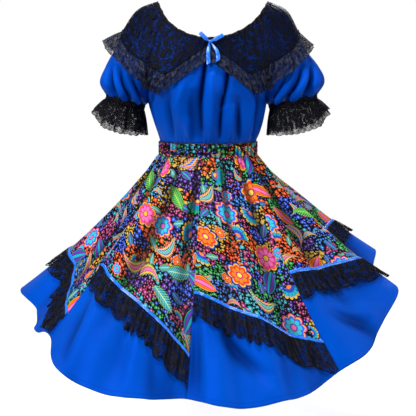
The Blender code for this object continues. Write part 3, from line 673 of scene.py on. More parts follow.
class Finish:
    """A finish. Its material is made once and goes on each piece of that cloth."""

    title: str
    slot: str

    def material(self) -> bpy.types.Material:
        """The finish's material, made at its first use.

        Returns:
            The material.
        """
        found = bpy.data.materials.get(self.title)
        if found:
            return found
        made = bpy.data.materials.new(self.title)
        made.use_nodes = True
        made.node_tree.nodes.clear()
        shader = self.shade(made.node_tree)
        add_node(made.node_tree, "OutputMaterial", {"Surface": shader})
        return made

    def shade(self, tree: bpy.types.NodeTree) -> bpy.types.NodeSocket:
        """Builds the shader. Each finish has its own.

        Args:
            tree: The tree that the nodes go into.

        Returns:
            The shader's output.
        """
        raise NotImplementedError(f"{self.title} has no shader in {tree.name}")

    def folded(
        self, tree: bpy.types.NodeTree, colour: bpy.types.NodeSocket, painted_shade: str, most: float
    ) -> bpy.types.NodeSocket:
        """The cloth's colour with painted shade down in its folds, darker the deeper the fold.

        Args:
            tree: The tree that the nodes go into.
            colour: The colour on the open cloth.
            painted_shade: The colour of the painted shade deep in a fold.
            most: How much of that painted shade the deepest folds get.

        Returns:
            The colour.
        """
        fold = add_node(tree, "Attribute", attribute_name="fold")["Fac"]
        share = add_node(tree, "MapRange", {0: fold, 3: 0.0, 4: most}, interpolation_type="SMOOTHSTEP")[0]
        return add_node(tree, "Mix", {"Factor": share, 6: colour, 7: srgb(painted_shade)}, data_type="RGBA")[2]

    def dress(self, item: bpy.types.Object) -> None:
        """Puts the finish on a piece.

        Args:
            item: The piece.
        """
        item.data.materials.clear()
        item.data.materials.append(self.material())


@dataclass(frozen=True)
class Broadcloth(Finish):
    """Plain woven cotton broadcloth, piece dyed royal blue: a saturated, almost matt face with soft wrinkles."""

    title: str = "royal blue broadcloth, plain woven and dyed"
    slot: str = "royal_blue_cotton"
    face: str = "004CBA"
    shade_colour: str = "0040A6"
    thread: float = 0.0016  # threads are 0.25 mm apart, drawn coarser so that they show
    wrinkle: float = 0.030  # about how far apart the small wrinkles are
    hem: float = 0.012  # the stitch line's distance from the edge
    stitch: str = "002A90"
    half_pitch: float = 0.0035  # half of the way from one stitch to the next, drawn longer so that it shows
    half_gap: float = 0.0010
    painted_shade: str = "00123C"  # colour of the painted shade down in the folds

    def shade(self, tree: bpy.types.NodeTree) -> bpy.types.NodeSocket:
        """Builds the shader.

        Args:
            tree: The tree that the nodes go into.

        Returns:
            The shader's output.
        """
        flat = add_node(tree, "UVMap", uv_map="cloth")[0]
        place = add_node(tree, "TexCoord")["Object"]
        threads = {"Vector": flat, "Scale": BAND / self.thread, "Distortion": 0.6, "Detail": 1.0}
        warp, weft = (add_node(tree, "TexWave", threads, bands_direction=way)["Fac"] for way in ("X", "Y"))
        weave = add_node(tree, "Math", {0: warp, 1: weft}, operation="MULTIPLY")[0]
        long = add_node(tree, "Mapping", {"Vector": place, "Scale": (1.0, 1.0, 0.45)})[0]
        wrinkles = {"Vector": long, "Scale": 1 / self.wrinkle, "Detail": 3.0, "Distortion": 0.4}
        crumple = add_node(tree, "TexNoise", wrinkles)["Fac"]
        broad = add_node(tree, "TexNoise", {"Vector": place, "Scale": 9.0, "Detail": 2.0})["Fac"]
        tone = add_node(tree, "Math", {0: weave, 1: 0.30, 2: broad}, operation="MULTIPLY_ADD")[0]
        colour = add_node(tree, "ValToRGB", {0: tone}, stops=((0.25, self.shade_colour), (0.85, self.face)))[0]
        edge = add_node(tree, "Attribute", attribute_name="edge")["Fac"]
        off = add_node(tree, "Math", {0: edge, 1: self.hem, 2: 0.0007}, operation="COMPARE")[0]
        across = add_node(tree, "SeparateXYZ", {0: flat})[0]
        dash = add_node(tree, "Math", {0: across, 1: self.half_pitch}, operation="PINGPONG")[0]
        stitched = add_node(tree, "Math", {0: dash, 1: self.half_gap}, operation="GREATER_THAN")[0]
        stitch = add_node(tree, "Math", {0: off, 1: stitched}, operation="MULTIPLY")[0]
        stitch_share = add_node(tree, "Math", {0: stitch, 1: 0.55}, operation="MULTIPLY")[0]
        sewn = {"Factor": stitch_share, 6: colour, 7: srgb(self.stitch)}
        colour = add_node(tree, "Mix", sewn, data_type="RGBA")[2]
        # painted shade down in the folds, up to 80 percent of the way to its colour
        colour = self.folded(tree, colour, self.painted_shade, 0.80)
        soft = add_node(tree, "Bump", {"Height": crumple, "Distance": 0.004, "Strength": 0.30})[0]
        relief = add_node(tree, "Math", {0: off, 1: -1.2, 2: weave}, operation="MULTIPLY_ADD")[0]
        rough = add_node(tree, "Bump", {"Height": relief, "Distance": 0.0002, "Strength": 0.5, "Normal": soft})[0]
        gloss = add_node(tree, "MapRange", {0: crumple, 3: 0.38, 4: 0.50})[0]
        surface = {
            "Base Color": colour,
            "Roughness": gloss,
            "Normal": rough,
            "IOR": 1.48,
            "Specular IOR Level": 0.45,
            "Specular Tint": srgb("0C44FF"),
            "Sheen Weight": 0.05,
            "Sheen Roughness": 0.35,
            "Sheen Tint": srgb("0048FF"),
        }
        return add_node(tree, "BsdfPrincipled", surface)[0]


@dataclass(frozen=True)
class PrintedCotton(Finish):
    """Cotton poplin, screen printed: flat bright flowers, leaves, pods, fans, drops and bubbles on black."""

    title: str = "cotton poplin, screen printed on a black ground"
    slot: str = "printed_cotton"
    large: float = 0.082  # spacing of the large motifs, which are about 75 mm across
    small: float = 0.040  # spacing of the small ones, about 35 mm across
    bubble: float = 0.0150  # spacing of the bubbles, which are up to 12 mm across
    bead: float = 0.0080  # spacing of the beads between them, about 5 mm across
    zone: float = 0.052  # across which the bubbles keep one colour
    weave: float = 700.0  # the grain's scale, 1.4 mm: the real threads are 0.25 mm apart, drawn coarser to show
    ground: str = "060608"
    painted_shade: str = "040408"  # colour of the painted shade down in the folds
    palette: tuple[str, ...] = ("1C48C0", "129048", "D04810", "C0982A", "1868B8", "4C2488", "1898A8", "982868")
    petals: tuple[Ramp, ...] = (
        ((0.0, "D8A828|"), (0.20, "401040"), (0.26, "E868A8"), (0.62, "D83C88"))
        + ((0.80, "E86010"), (0.90, "E0B838"), (0.97, "080808")),
        ((0.0, "F8D048|"), (0.18, "B02060"), (0.30, "F07818"), (0.60, "D83818"))
        + ((0.78, "E0B030"), (0.88, "2050B8"), (0.97, "080808")),
        ((0.0, "F060B0|"), (0.20, "302080"), (0.28, "30B8D0"), (0.60, "2868D8"))
        + ((0.78, "F8A030"), (0.88, "C83080"), (0.97, "080808")),
    )
    leaves: tuple[Ramp, ...] = (
        ((0.0, "C8D840|"), (0.05, "209848"), (0.50, "0C7038"), (0.78, "50B850"), (0.88, "080808")),
        ((0.0, "D8E8A0|"), (0.05, "1890A8"), (0.50, "0C6890"), (0.76, "28A878"), (0.88, "080808")),
    )
    pods: tuple[Ramp, ...] = (
        ((0.0, "E070B0|"), (0.22, "B82470"), (0.36, "E86810"), (0.66, "D04010"), (0.80, "D8B038"), (0.91, "080808")),
        ((0.0, "20A0B0|"), (0.20, "183070"), (0.32, "6830A0"), (0.62, "2048A8"), (0.80, "28A068"), (0.90, "080808")),
    )
    fans: tuple[Ramp, ...] = (
        ((0.0, "F0C040|"), (0.22, "C82868"), (0.34, "1888A8"), (0.70, "28A870"), (0.91, "080808")),
        ((0.0, "F08030|"), (0.26, "2048B8"), (0.50, "20A0B8"), (0.78, "E0A830"), (0.91, "080808")),
    )
    drops: tuple[Ramp, ...] = (
        ((0.0, "2058C8|"), (0.30, "E8B838"), (0.46, "E85818"), (0.74, "2098B0"), (0.90, "080808")),
        ((0.0, "D04898|"), (0.28, "501878"), (0.44, "E8A028"), (0.72, "209050"), (0.90, "080808")),
        ((0.0, "18A0A8|"), (0.30, "203890"), (0.50, "E0B040"), (0.70, "B82868"), (0.90, "080808")),
    )

    def either(
        self,
        tree: bpy.types.NodeTree,
        value: bpy.types.NodeSocket,
        choice: bpy.types.NodeSocket,
        ramps: tuple[Ramp, ...],
    ) -> bpy.types.NodeSocket:
        """A value's colour on one of several ramps.

        Args:
            tree: The tree that the nodes go into.
            value: The place on the ramp.
            choice: From 0 to 1, which ramp.
            ramps: The ramps' stops.

        Returns:
            The colour.
        """
        colour = add_node(tree, "ValToRGB", {0: value}, stops=ramps[0])[0]
        for i, stops in enumerate(ramps[1:], 1):
            other = add_node(tree, "ValToRGB", {0: value}, stops=stops)[0]
            past = add_node(tree, "Math", {0: choice, 1: i / len(ramps)}, operation="GREATER_THAN")[0]
            colour = add_node(tree, "Mix", {"Factor": past, 6: colour, 7: other}, data_type="RGBA")[2]
        return colour

    def lens(
        self,
        tree: bpy.types.NodeTree,
        x: bpy.types.NodeSocket,
        y: bpy.types.NodeSocket,
        half: tuple[float, float],
        bend: float = 0.0,
        taper: float = 0.0,
    ) -> bpy.types.NodeSocket:
        """The share of the way from a lens's long axis to its rim.

        Args:
            tree: The tree that the nodes go into.
            x: The place along the lens.
            y: The place across it.
            half: Half its length and half its width.
            bend: How strongly its axis curves.
            taper: How much wider one end is than the other.

        Returns:
            A value that is below 1 inside.
        """
        square = add_node(tree, "Math", {0: x, 1: x}, operation="MULTIPLY")[0]
        width = add_node(tree, "Math", {0: square, 1: -half[1] / half[0] ** 2, 2: half[1]}, operation="MULTIPLY_ADD")[0]
        fatter = add_node(tree, "Math", {0: x, 1: taper, 2: 1.0}, operation="MULTIPLY_ADD")[0]
        width = add_node(tree, "Math", {0: width, 1: fatter}, operation="MULTIPLY")[0]
        width = add_node(tree, "Math", {0: width, 1: 0.0005}, operation="MAXIMUM")[0]
        bent = add_node(tree, "Math", {0: square, 1: -bend, 2: y}, operation="MULTIPLY_ADD")[0]
        bent = add_node(tree, "Math", {0: bent, 1: bend * 0.07}, operation="ADD")[0]
        off = add_node(tree, "Math", {0: bent}, operation="ABSOLUTE")[0]
        return add_node(tree, "Math", {0: off, 1: width}, operation="DIVIDE")[0]

    def motifs(self) -> bpy.types.NodeTree:
        """Draws a motif in each cell: a flower, a leaf, a pod, a fan or a bent drop.

        Returns:
            The node group, which gives the colour, the motif's cover and the cell's chance.
        """
        group = bpy.data.node_groups.new("printed motifs", "ShaderNodeTree")
        group.interface.new_socket("Flat", in_out="INPUT", socket_type="NodeSocketVector")
        group.interface.new_socket("Spacing", in_out="INPUT", socket_type="NodeSocketFloat")
        group.interface.new_socket("Colour", in_out="OUTPUT", socket_type="NodeSocketColor")
        group.interface.new_socket("Cover", in_out="OUTPUT", socket_type="NodeSocketFloat")
        group.interface.new_socket("Chance", in_out="OUTPUT", socket_type="NodeSocketFloat")
        given = group.nodes.new("NodeGroupInput").outputs
        result = group.nodes.new("NodeGroupOutput").inputs
        scale = add_node(group, "Math", {0: 1.0, 1: given[1]}, operation="DIVIDE")[0]
        size = {"Vector": given[0], "Scale": scale, "Randomness": 0.62}
        cell = add_node(group, "TexVoronoi", size, voronoi_dimensions="2D")
        chance = add_node(group, "SeparateColor", {0: cell["Color"]})
        local = add_node(group, "VectorMath", {0: given[0], 1: cell["Position"]}, operation="SUBTRACT")[0]
        local = add_node(group, "VectorMath", {0: local, 3: scale}, operation="SCALE")[0]
        turn = add_node(group, "Math", {0: chance[0], 1: 6.28}, operation="MULTIPLY")[0]
        local = add_node(group, "VectorRotate", {"Vector": local, "Angle": turn}, rotation_type="Z_AXIS")[0]
        x, y, _ = add_node(group, "SeparateXYZ", {0: local})
        reach = add_node(group, "VectorMath", {0: local}, operation="LENGTH")["Value"]
        angle = add_node(group, "Math", {0: y, 1: x}, operation="ARCTAN2")[0]
        petal = add_node(group, "Math", {0: angle, 1: 4.0}, operation="MULTIPLY")[0]
        petal = add_node(group, "Math", {0: petal}, operation="COSINE")[0]
        petal = add_node(group, "Math", {0: petal}, operation="ABSOLUTE")[0]
        rim = add_node(group, "Math", {0: petal, 1: 0.10, 2: 0.33}, operation="MULTIPLY_ADD")[0]
        bloom = add_node(group, "Math", {0: reach, 1: rim}, operation="DIVIDE")[0]
        flower = self.either(group, bloom, chance[2], self.petals)
        between = add_node(group, "Math", {0: petal, 1: 0.22}, operation="LESS_THAN")[0]
        outer = add_node(group, "Math", {0: bloom, 1: 0.28}, operation="GREATER_THAN")[0]
        line = add_node(group, "Math", {0: between, 1: outer}, operation="MULTIPLY")[0]
        line = add_node(group, "Math", {0: line, 1: 0.75}, operation="MULTIPLY")[0]
        flower = add_node(group, "Mix", {"Factor": line, 6: flower, 7: srgb("701048")}, data_type="RGBA")[2]
        aside = add_node(group, "Math", {0: y}, operation="ABSOLUTE")[0]
        slope = add_node(group, "Math", {0: aside, 1: -0.9, 2: x}, operation="MULTIPLY_ADD")[0]
        rib = add_node(group, "Math", {0: slope, 1: 75.0}, operation="MULTIPLY")[0]
        rib = add_node(group, "Math", {0: rib}, operation="SINE")[0]
        rib = add_node(group, "Math", {0: rib, 1: 0.55}, operation="GREATER_THAN")[0]
        rib = add_node(group, "Math", {0: rib, 1: 0.45}, operation="MULTIPLY")[0]
        leaf_off = self.lens(group, x, y, (0.47, 0.20))
        leaf = self.either(group, leaf_off, chance[2], self.leaves)
        leaf = add_node(group, "Mix", {"Factor": rib, 6: leaf, 7: srgb("B8E060")}, data_type="RGBA")[2]
        pod_off = self.lens(group, x, y, (0.46, 0.25))
        pod = self.either(group, pod_off, chance[2], self.pods)
        drop_off = self.lens(group, x, y, (0.52, 0.17), 1.5, 1.2)
        drop = self.either(group, drop_off, chance[2], self.drops)
        drop = add_node(group, "Mix", {"Factor": rib, 6: drop, 7: srgb("E8D070")}, data_type="RGBA")[2]
        spoke = add_node(group, "Math", {0: angle, 1: 8.0}, operation="MULTIPLY")[0]
        spoke = add_node(group, "Math", {0: spoke}, operation="COSINE")[0]
        spoke = add_node(group, "Math", {0: spoke}, operation="ABSOLUTE")[0]
        fan_rim = add_node(group, "Math", {0: spoke, 1: 0.07, 2: 0.40}, operation="MULTIPLY_ADD")[0]
        fan_off = add_node(group, "Math", {0: reach, 1: fan_rim}, operation="DIVIDE")[0]
        fan = self.either(group, fan_off, chance[2], self.fans)
        ray = add_node(group, "Math", {0: spoke, 1: 0.26}, operation="LESS_THAN")[0]
        ray = add_node(group, "Math", {0: ray, 1: 0.8}, operation="MULTIPLY")[0]
        fan = add_node(group, "Mix", {"Factor": ray, 6: fan, 7: srgb("0A1838")}, data_type="RGBA")[2]
        wedge = add_node(group, "Math", {0: angle}, operation="ABSOLUTE")[0]
        wedge = add_node(group, "Math", {0: wedge, 1: 1.05}, operation="DIVIDE")[0]
        fan_off = add_node(group, "Math", {0: fan_off, 1: wedge}, operation="MAXIMUM")[0]
        colour, off = flower, bloom
        choices = ((0.22, leaf, leaf_off), (0.40, pod, pod_off), (0.55, fan, fan_off), (0.70, drop, drop_off))
        for least, other, other_off in choices:
            past = add_node(group, "Math", {0: chance[1], 1: least}, operation="GREATER_THAN")[0]
            colour = add_node(group, "Mix", {"Factor": past, 6: colour, 7: other}, data_type="RGBA")[2]
            off = add_node(group, "Mix", {0: past, 2: off, 3: other_off})[0]
        cover = add_node(group, "Math", {0: off, 1: 1.06}, operation="LESS_THAN")[0]
        for socket, value in zip(result, (colour, cover, chance[2])):
            group.links.new(value, socket)
        return group

    def bubbles(
        self, tree: bpy.types.NodeTree, flat: bpy.types.NodeSocket, spacing: float, under: bpy.types.NodeSocket
    ) -> bpy.types.NodeSocket:
        """Round bubbles, each of one colour with a light spot, printed over the colours below.

        Args:
            tree: The tree that the nodes go into.
            flat: The place on the flat cloth.
            spacing: Of the bubbles, in metres.
            under: The colour that shows between them.

        Returns:
            The colour.
        """
        size = {"Vector": flat, "Scale": 1 / spacing, "Randomness": 0.75}
        cell = add_node(tree, "TexVoronoi", size, voronoi_dimensions="2D")
        room = add_node(tree, "TexVoronoi", size, voronoi_dimensions="2D", feature="N_SPHERE_RADIUS")["Radius"]
        share = add_node(tree, "Math", {0: cell["Distance"], 1: room}, operation="DIVIDE")[0]
        size = {"Vector": cell["Position"], "Scale": 1 / self.zone}
        zone = add_node(tree, "TexVoronoi", size, voronoi_dimensions="2D")["Color"]
        zone = add_node(tree, "SeparateColor", {0: zone})[0]
        own = add_node(tree, "SeparateColor", {0: cell["Color"]})[0]
        pick = add_node(tree, "Math", {0: own, 1: 0.08, 2: zone}, operation="MULTIPLY_ADD")[0]
        pick = add_node(tree, "Math", {0: pick}, operation="FRACT")[0]
        stops = tuple((i / len(self.palette), code + "|") for i, code in enumerate(self.palette))
        colour = add_node(tree, "ValToRGB", {0: pick}, stops=stops)[0]
        spot = add_node(tree, "Math", {0: share, 1: 0.30}, operation="LESS_THAN")[0]
        spot = add_node(tree, "Math", {0: spot, 1: 0.28}, operation="MULTIPLY")[0]
        colour = add_node(tree, "Mix", {"Factor": spot, 6: colour, 7: srgb("FFF0C0")}, data_type="RGBA")[2]
        inside = add_node(tree, "Math", {0: share, 1: 0.76}, operation="LESS_THAN")[0]
        return add_node(tree, "Mix", {"Factor": inside, 6: under, 7: colour}, data_type="RGBA")[2]

    def shade(self, tree: bpy.types.NodeTree) -> bpy.types.NodeSocket:
        """Builds the shader.

        Args:
            tree: The tree that the nodes go into.

        Returns:
            The shader's output.
        """
        flat = add_node(tree, "UVMap", uv_map="cloth")[0]
        colour = add_node(tree, "RGB")[0]
        colour.default_value = srgb(self.ground)
        colour = self.bubbles(tree, flat, self.bead, colour)
        colour = self.bubbles(tree, flat, self.bubble, colour)
        group = self.motifs()
        for spacing, shift, least in ((self.small, (0.31, 0.17, 0.0), 0.50), (self.large, (0.0, 0.0, 0.0), 0.05)):
            moved = add_node(tree, "VectorMath", {0: flat, 1: shift}, operation="ADD")[0]
            drawn = add_node(tree, "Group", {0: moved, 1: spacing}, node_tree=group)
            there = add_node(tree, "Math", {0: drawn["Chance"], 1: least}, operation="GREATER_THAN")[0]
            cover = add_node(tree, "Math", {0: drawn["Cover"], 1: there}, operation="MULTIPLY")[0]
            colour = add_node(tree, "Mix", {"Factor": cover, 6: colour, 7: drawn["Colour"]}, data_type="RGBA")[2]
        # painted shade down in the folds, up to 75 percent of the way to its colour
        colour = self.folded(tree, colour, self.painted_shade, 0.75)
        weave = add_node(tree, "TexNoise", {"Vector": flat, "Scale": self.weave, "Detail": 1.0})["Fac"]
        place = add_node(tree, "TexCoord")["Object"]
        crumple = add_node(tree, "TexNoise", {"Vector": place, "Scale": 26.0, "Detail": 3.0})["Fac"]
        soft = add_node(tree, "Bump", {"Height": crumple, "Distance": 0.003, "Strength": 0.4})[0]
        rough = add_node(tree, "Bump", {"Height": weave, "Distance": 0.0003, "Strength": 0.4, "Normal": soft})[0]
        gloss = add_node(tree, "MapRange", {0: weave, 3: 0.52, 4: 0.70})[0]
        surface = {
            "Base Color": colour,
            "Roughness": gloss,
            "Normal": rough,
            "IOR": 1.48,
            "Specular IOR Level": 0.10,
        }
        return add_node(tree, "BsdfPrincipled", surface)[0]


@dataclass(frozen=True)
class Lace(Finish):
    """Machine-knitted black nylon lace: an open net of fine, nearly matt threads under dense flowers and cords."""

    title: str = "black nylon lace, machine knitted net with flowers"
    slot: str = "black_lace"
    mesh: float = 0.0024  # the net's holes, drawn about twice as wide as real ones so that they show
    flower: float = 0.0125  # spacing of the flowers
    leaf: float = 0.0056  # spacing of the leaves
    spray: float = 0.46  # how widely the leaves spread over the net
    drift: float = 0.009  # how far the knitted outlines wander
    thread: str = "08080E"
    # cord is the lighter colour of the corded outlines and of the net's patches: painted highlight on black thread
    cord: str = "1A1A26"
    fill: float = 0.90  # how dense the flowers are
    ground: float = 0.075  # how thick the net's threads are, as a share of a hole
    outline: float = 0.07  # how thick the cord round a flower is, as a share of the flower
    painted_sheen: float = 0.0  # how much of the thread takes the lighter cord colour in patches: painted sheen
    sheer: float = 0.0  # the width of the border where the flowers thin out

    def shade(self, tree: bpy.types.NodeTree) -> bpy.types.NodeSocket:
        """Builds the shader.

        Args:
            tree: The tree that the nodes go into.

        Returns:
            The shader's output.
        """
        flat = add_node(tree, "UVMap", uv_map="cloth")[0]
        wander = add_node(tree, "TexNoise", {"Vector": flat, "Scale": 110.0, "Detail": 2.0})["Color"]
        wander = add_node(tree, "VectorMath", {0: wander, 1: (0.5, 0.5, 0.5)}, operation="SUBTRACT")[0]
        wander = add_node(tree, "VectorMath", {0: wander, 3: self.drift}, operation="SCALE")[0]
        knitted = add_node(tree, "VectorMath", {0: flat, 1: wander}, operation="ADD")[0]
        cloud = add_node(tree, "TexNoise", {"Vector": flat, "Scale": 75.0, "Detail": 3.0, "Roughness": 0.65})["Fac"]
        holes = {"Vector": flat, "Scale": 1 / self.mesh, "Randomness": 0.6}
        net = add_node(tree, "TexVoronoi", holes, voronoi_dimensions="2D", feature="DISTANCE_TO_EDGE")[0]
        strand = add_node(tree, "MapRange", {0: cloud, 1: 0.3, 2: 0.7, 3: 0.6 * self.ground, 4: 1.8 * self.ground})[0]
        # in a fold the net grows denser and less blue shows through: partly the lace bunching, partly painted shade
        bunch_and_shade = add_node(tree, "Attribute", attribute_name="fold")["Fac"]
        strand = add_node(tree, "Math", {0: bunch_and_shade, 1: 0.35, 2: strand}, operation="MULTIPLY_ADD")[0]
        net = add_node(tree, "Math", {0: net, 1: strand}, operation="LESS_THAN")[0]
        size = {"Vector": knitted, "Scale": 1 / self.flower, "Randomness": 0.85}
        cell = add_node(tree, "TexVoronoi", size, voronoi_dimensions="2D")
        border = add_node(tree, "TexVoronoi", size, voronoi_dimensions="2D", feature="DISTANCE_TO_EDGE")[0]
        local = add_node(tree, "VectorMath", {0: knitted, 1: cell["Position"]}, operation="SUBTRACT")[0]
        x, y, _ = add_node(tree, "SeparateXYZ", {0: local})
        own = add_node(tree, "SeparateColor", {0: cell["Color"]})
        angle = add_node(tree, "Math", {0: y, 1: x}, operation="ARCTAN2")[0]
        angle = add_node(tree, "Math", {0: angle, 1: 2.5, 2: own[0]}, operation="MULTIPLY_ADD")[0]
        petal = add_node(tree, "Math", {0: angle}, operation="COSINE")[0]
        petal = add_node(tree, "Math", {0: petal}, operation="ABSOLUTE")[0]
        rim = add_node(tree, "Math", {0: petal, 1: 0.20, 2: 0.18}, operation="MULTIPLY_ADD")[0]
        wide = add_node(tree, "MapRange", {0: own[1], 3: 0.75, 4: 1.30})[0]
        rim = add_node(tree, "Math", {0: rim, 1: wide}, operation="MULTIPLY")[0]
        share = add_node(tree, "Math", {0: cell["Distance"], 1: rim}, operation="DIVIDE")[0]
        bloom = add_node(tree, "Math", {0: share, 1: 1.0}, operation="LESS_THAN")[0]
        line = add_node(tree, "Math", {0: share, 1: 1.0, 2: self.outline}, operation="COMPARE")[0]
        reach = add_node(tree, "MapRange", {0: cloud, 1: 0.42, 2: 0.62, 3: 0.0, 4: 0.034})[0]
        vine = add_node(tree, "Math", {0: border, 1: reach}, operation="LESS_THAN")[0]
        line = add_node(tree, "Math", {0: line, 1: vine}, operation="MAXIMUM")[0]
        size = {"Vector": knitted, "Scale": 1 / self.leaf, "Randomness": 0.9}
        leaf = add_node(tree, "TexVoronoi", size, voronoi_dimensions="2D")
        picked = add_node(tree, "SeparateColor", {0: leaf["Color"]})[0]
        reach = add_node(tree, "MapRange", {0: picked, 3: 0.10, 4: self.spray})[0]
        leaf = add_node(tree, "Math", {0: leaf["Distance"], 1: reach}, operation="LESS_THAN")[0]
        dense = add_node(tree, "Math", {0: bloom, 1: leaf}, operation="MAXIMUM")[0]
        fill = add_node(tree, "Math", {0: dense, 1: self.fill}, operation="MULTIPLY")[0]
        edge = add_node(tree, "Attribute", attribute_name="edge")["Fac"]
        if self.sheer:
            left = add_node(tree, "MapRange", {0: edge, 1: 0.15 * self.sheer, 2: self.sheer, 3: 0.10, 4: 1.0})[0]
            fill = add_node(tree, "Math", {0: fill, 1: left}, operation="MULTIPLY")[0]
        hem = add_node(tree, "Math", {0: edge, 1: 0.0010, 2: 0.0007}, operation="COMPARE")[0]
        solid = add_node(tree, "Math", {0: net, 1: line}, operation="MAXIMUM")[0]
        solid = add_node(tree, "Math", {0: solid, 1: hem}, operation="MAXIMUM")[0]
        solid = add_node(tree, "Math", {0: solid, 1: fill}, operation="MAXIMUM")[0]
        # painted highlight: the outlines and patches of the net take the lighter cord colour where threads would catch
        # the light
        light = add_node(tree, "MapRange", {0: cloud, 1: 0.45, 2: 0.70, 3: 0.0, 4: self.painted_sheen})[0]
        light = add_node(tree, "Math", {0: line, 1: 0.6, 2: light}, operation="MULTIPLY_ADD", use_clamp=True)[0]
        colour = add_node(tree, "Mix", {"Factor": light, 6: srgb(self.thread), 7: srgb(self.cord)}, data_type="RGBA")[2]
        height = add_node(tree, "Math", {0: solid, 1: line}, operation="ADD")[0]
        relief = add_node(tree, "Bump", {"Height": height, "Distance": 0.0006, "Strength": 0.7})[0]
        surface = {
            "Base Color": colour,
            "Alpha": solid,
            "Normal": relief,
            "Roughness": 0.55,
            "IOR": 1.5,
            "Specular IOR Level": 0.06,
            "Sheen Weight": 0.03,
            "Sheen Roughness": 0.35,
            "Sheen Tint": srgb("8090C0"),
        }
        return add_node(tree, "BsdfPrincipled", surface)[0]


@dataclass(frozen=True)
class Satin(Finish):
    """Woven polyester satin ribbon: a bright face that gives long soft highlights along its folds."""

    title: str = "bright blue satin ribbon, woven polyester"
    slot: str = "blue_satin"
    face: str = "1C7CF4"
    rib: float = 0.0008  # ribs are 0.2 mm apart, drawn coarser so that they show

    def shade(self, tree: bpy.types.NodeTree) -> bpy.types.NodeSocket:
        """Builds the shader.

        Args:
            tree: The tree that the nodes go into.

        Returns:
            The shader's output.
        """
        flat = add_node(tree, "UVMap", uv_map="cloth")[0]
        ribs = add_node(tree, "TexWave", {"Vector": flat, "Scale": BAND / self.rib, "Distortion": 1.0})["Fac"]
        place = add_node(tree, "TexCoord")["Object"]
        crumple = add_node(tree, "TexNoise", {"Vector": place, "Scale": 120.0, "Detail": 2.0})["Fac"]
        colour = add_node(tree, "ValToRGB", {0: crumple}, stops=((0.3, "1060D8"), (0.7, self.face)))[0]
        soft = add_node(tree, "Bump", {"Height": crumple, "Distance": 0.0015, "Strength": 0.4})[0]
        fine = add_node(tree, "Bump", {"Height": ribs, "Distance": 0.0001, "Strength": 0.3, "Normal": soft})[0]
        gloss = add_node(tree, "MapRange", {0: crumple, 3: 0.20, 4: 0.34})[0]
        surface = {
            "Base Color": colour,
            "Roughness": gloss,
            "Normal": fine,
            "IOR": 1.55,
            "Anisotropic": 0.5,
            "Sheen Weight": 0.25,
            "Sheen Tint": srgb("90C8FF"),
        }
        return add_node(tree, "BsdfPrincipled", surface)[0]


@dataclass(frozen=True)
class Piping(Finish):
    """Bias-cut navy cotton over a cord: small wrinkles, nearly black."""

    title: str = "navy cotton bias piping, sewn over a cord"
    slot: str = "navy_piping"
    face: str = "0A1450"

    def shade(self, tree: bpy.types.NodeTree) -> bpy.types.NodeSocket:
        """Builds the shader.

        Args:
            tree: The tree that the nodes go into.

        Returns:
            The shader's output.
        """
        place = add_node(tree, "TexCoord")["Object"]
        crumple = add_node(tree, "TexNoise", {"Vector": place, "Scale": 260.0, "Detail": 2.0})["Fac"]
        colour = add_node(tree, "ValToRGB", {0: crumple}, stops=((0.3, "060C34"), (0.7, self.face)))[0]
        bumps = add_node(tree, "Bump", {"Height": crumple, "Distance": 0.0006, "Strength": 0.5})[0]
        gloss = add_node(tree, "MapRange", {0: crumple, 3: 0.5, 4: 0.7})[0]
        surface = {"Base Color": colour, "Roughness": gloss, "Normal": bumps, "Sheen Weight": 0.1}
        return add_node(tree, "BsdfPrincipled", surface)[0]


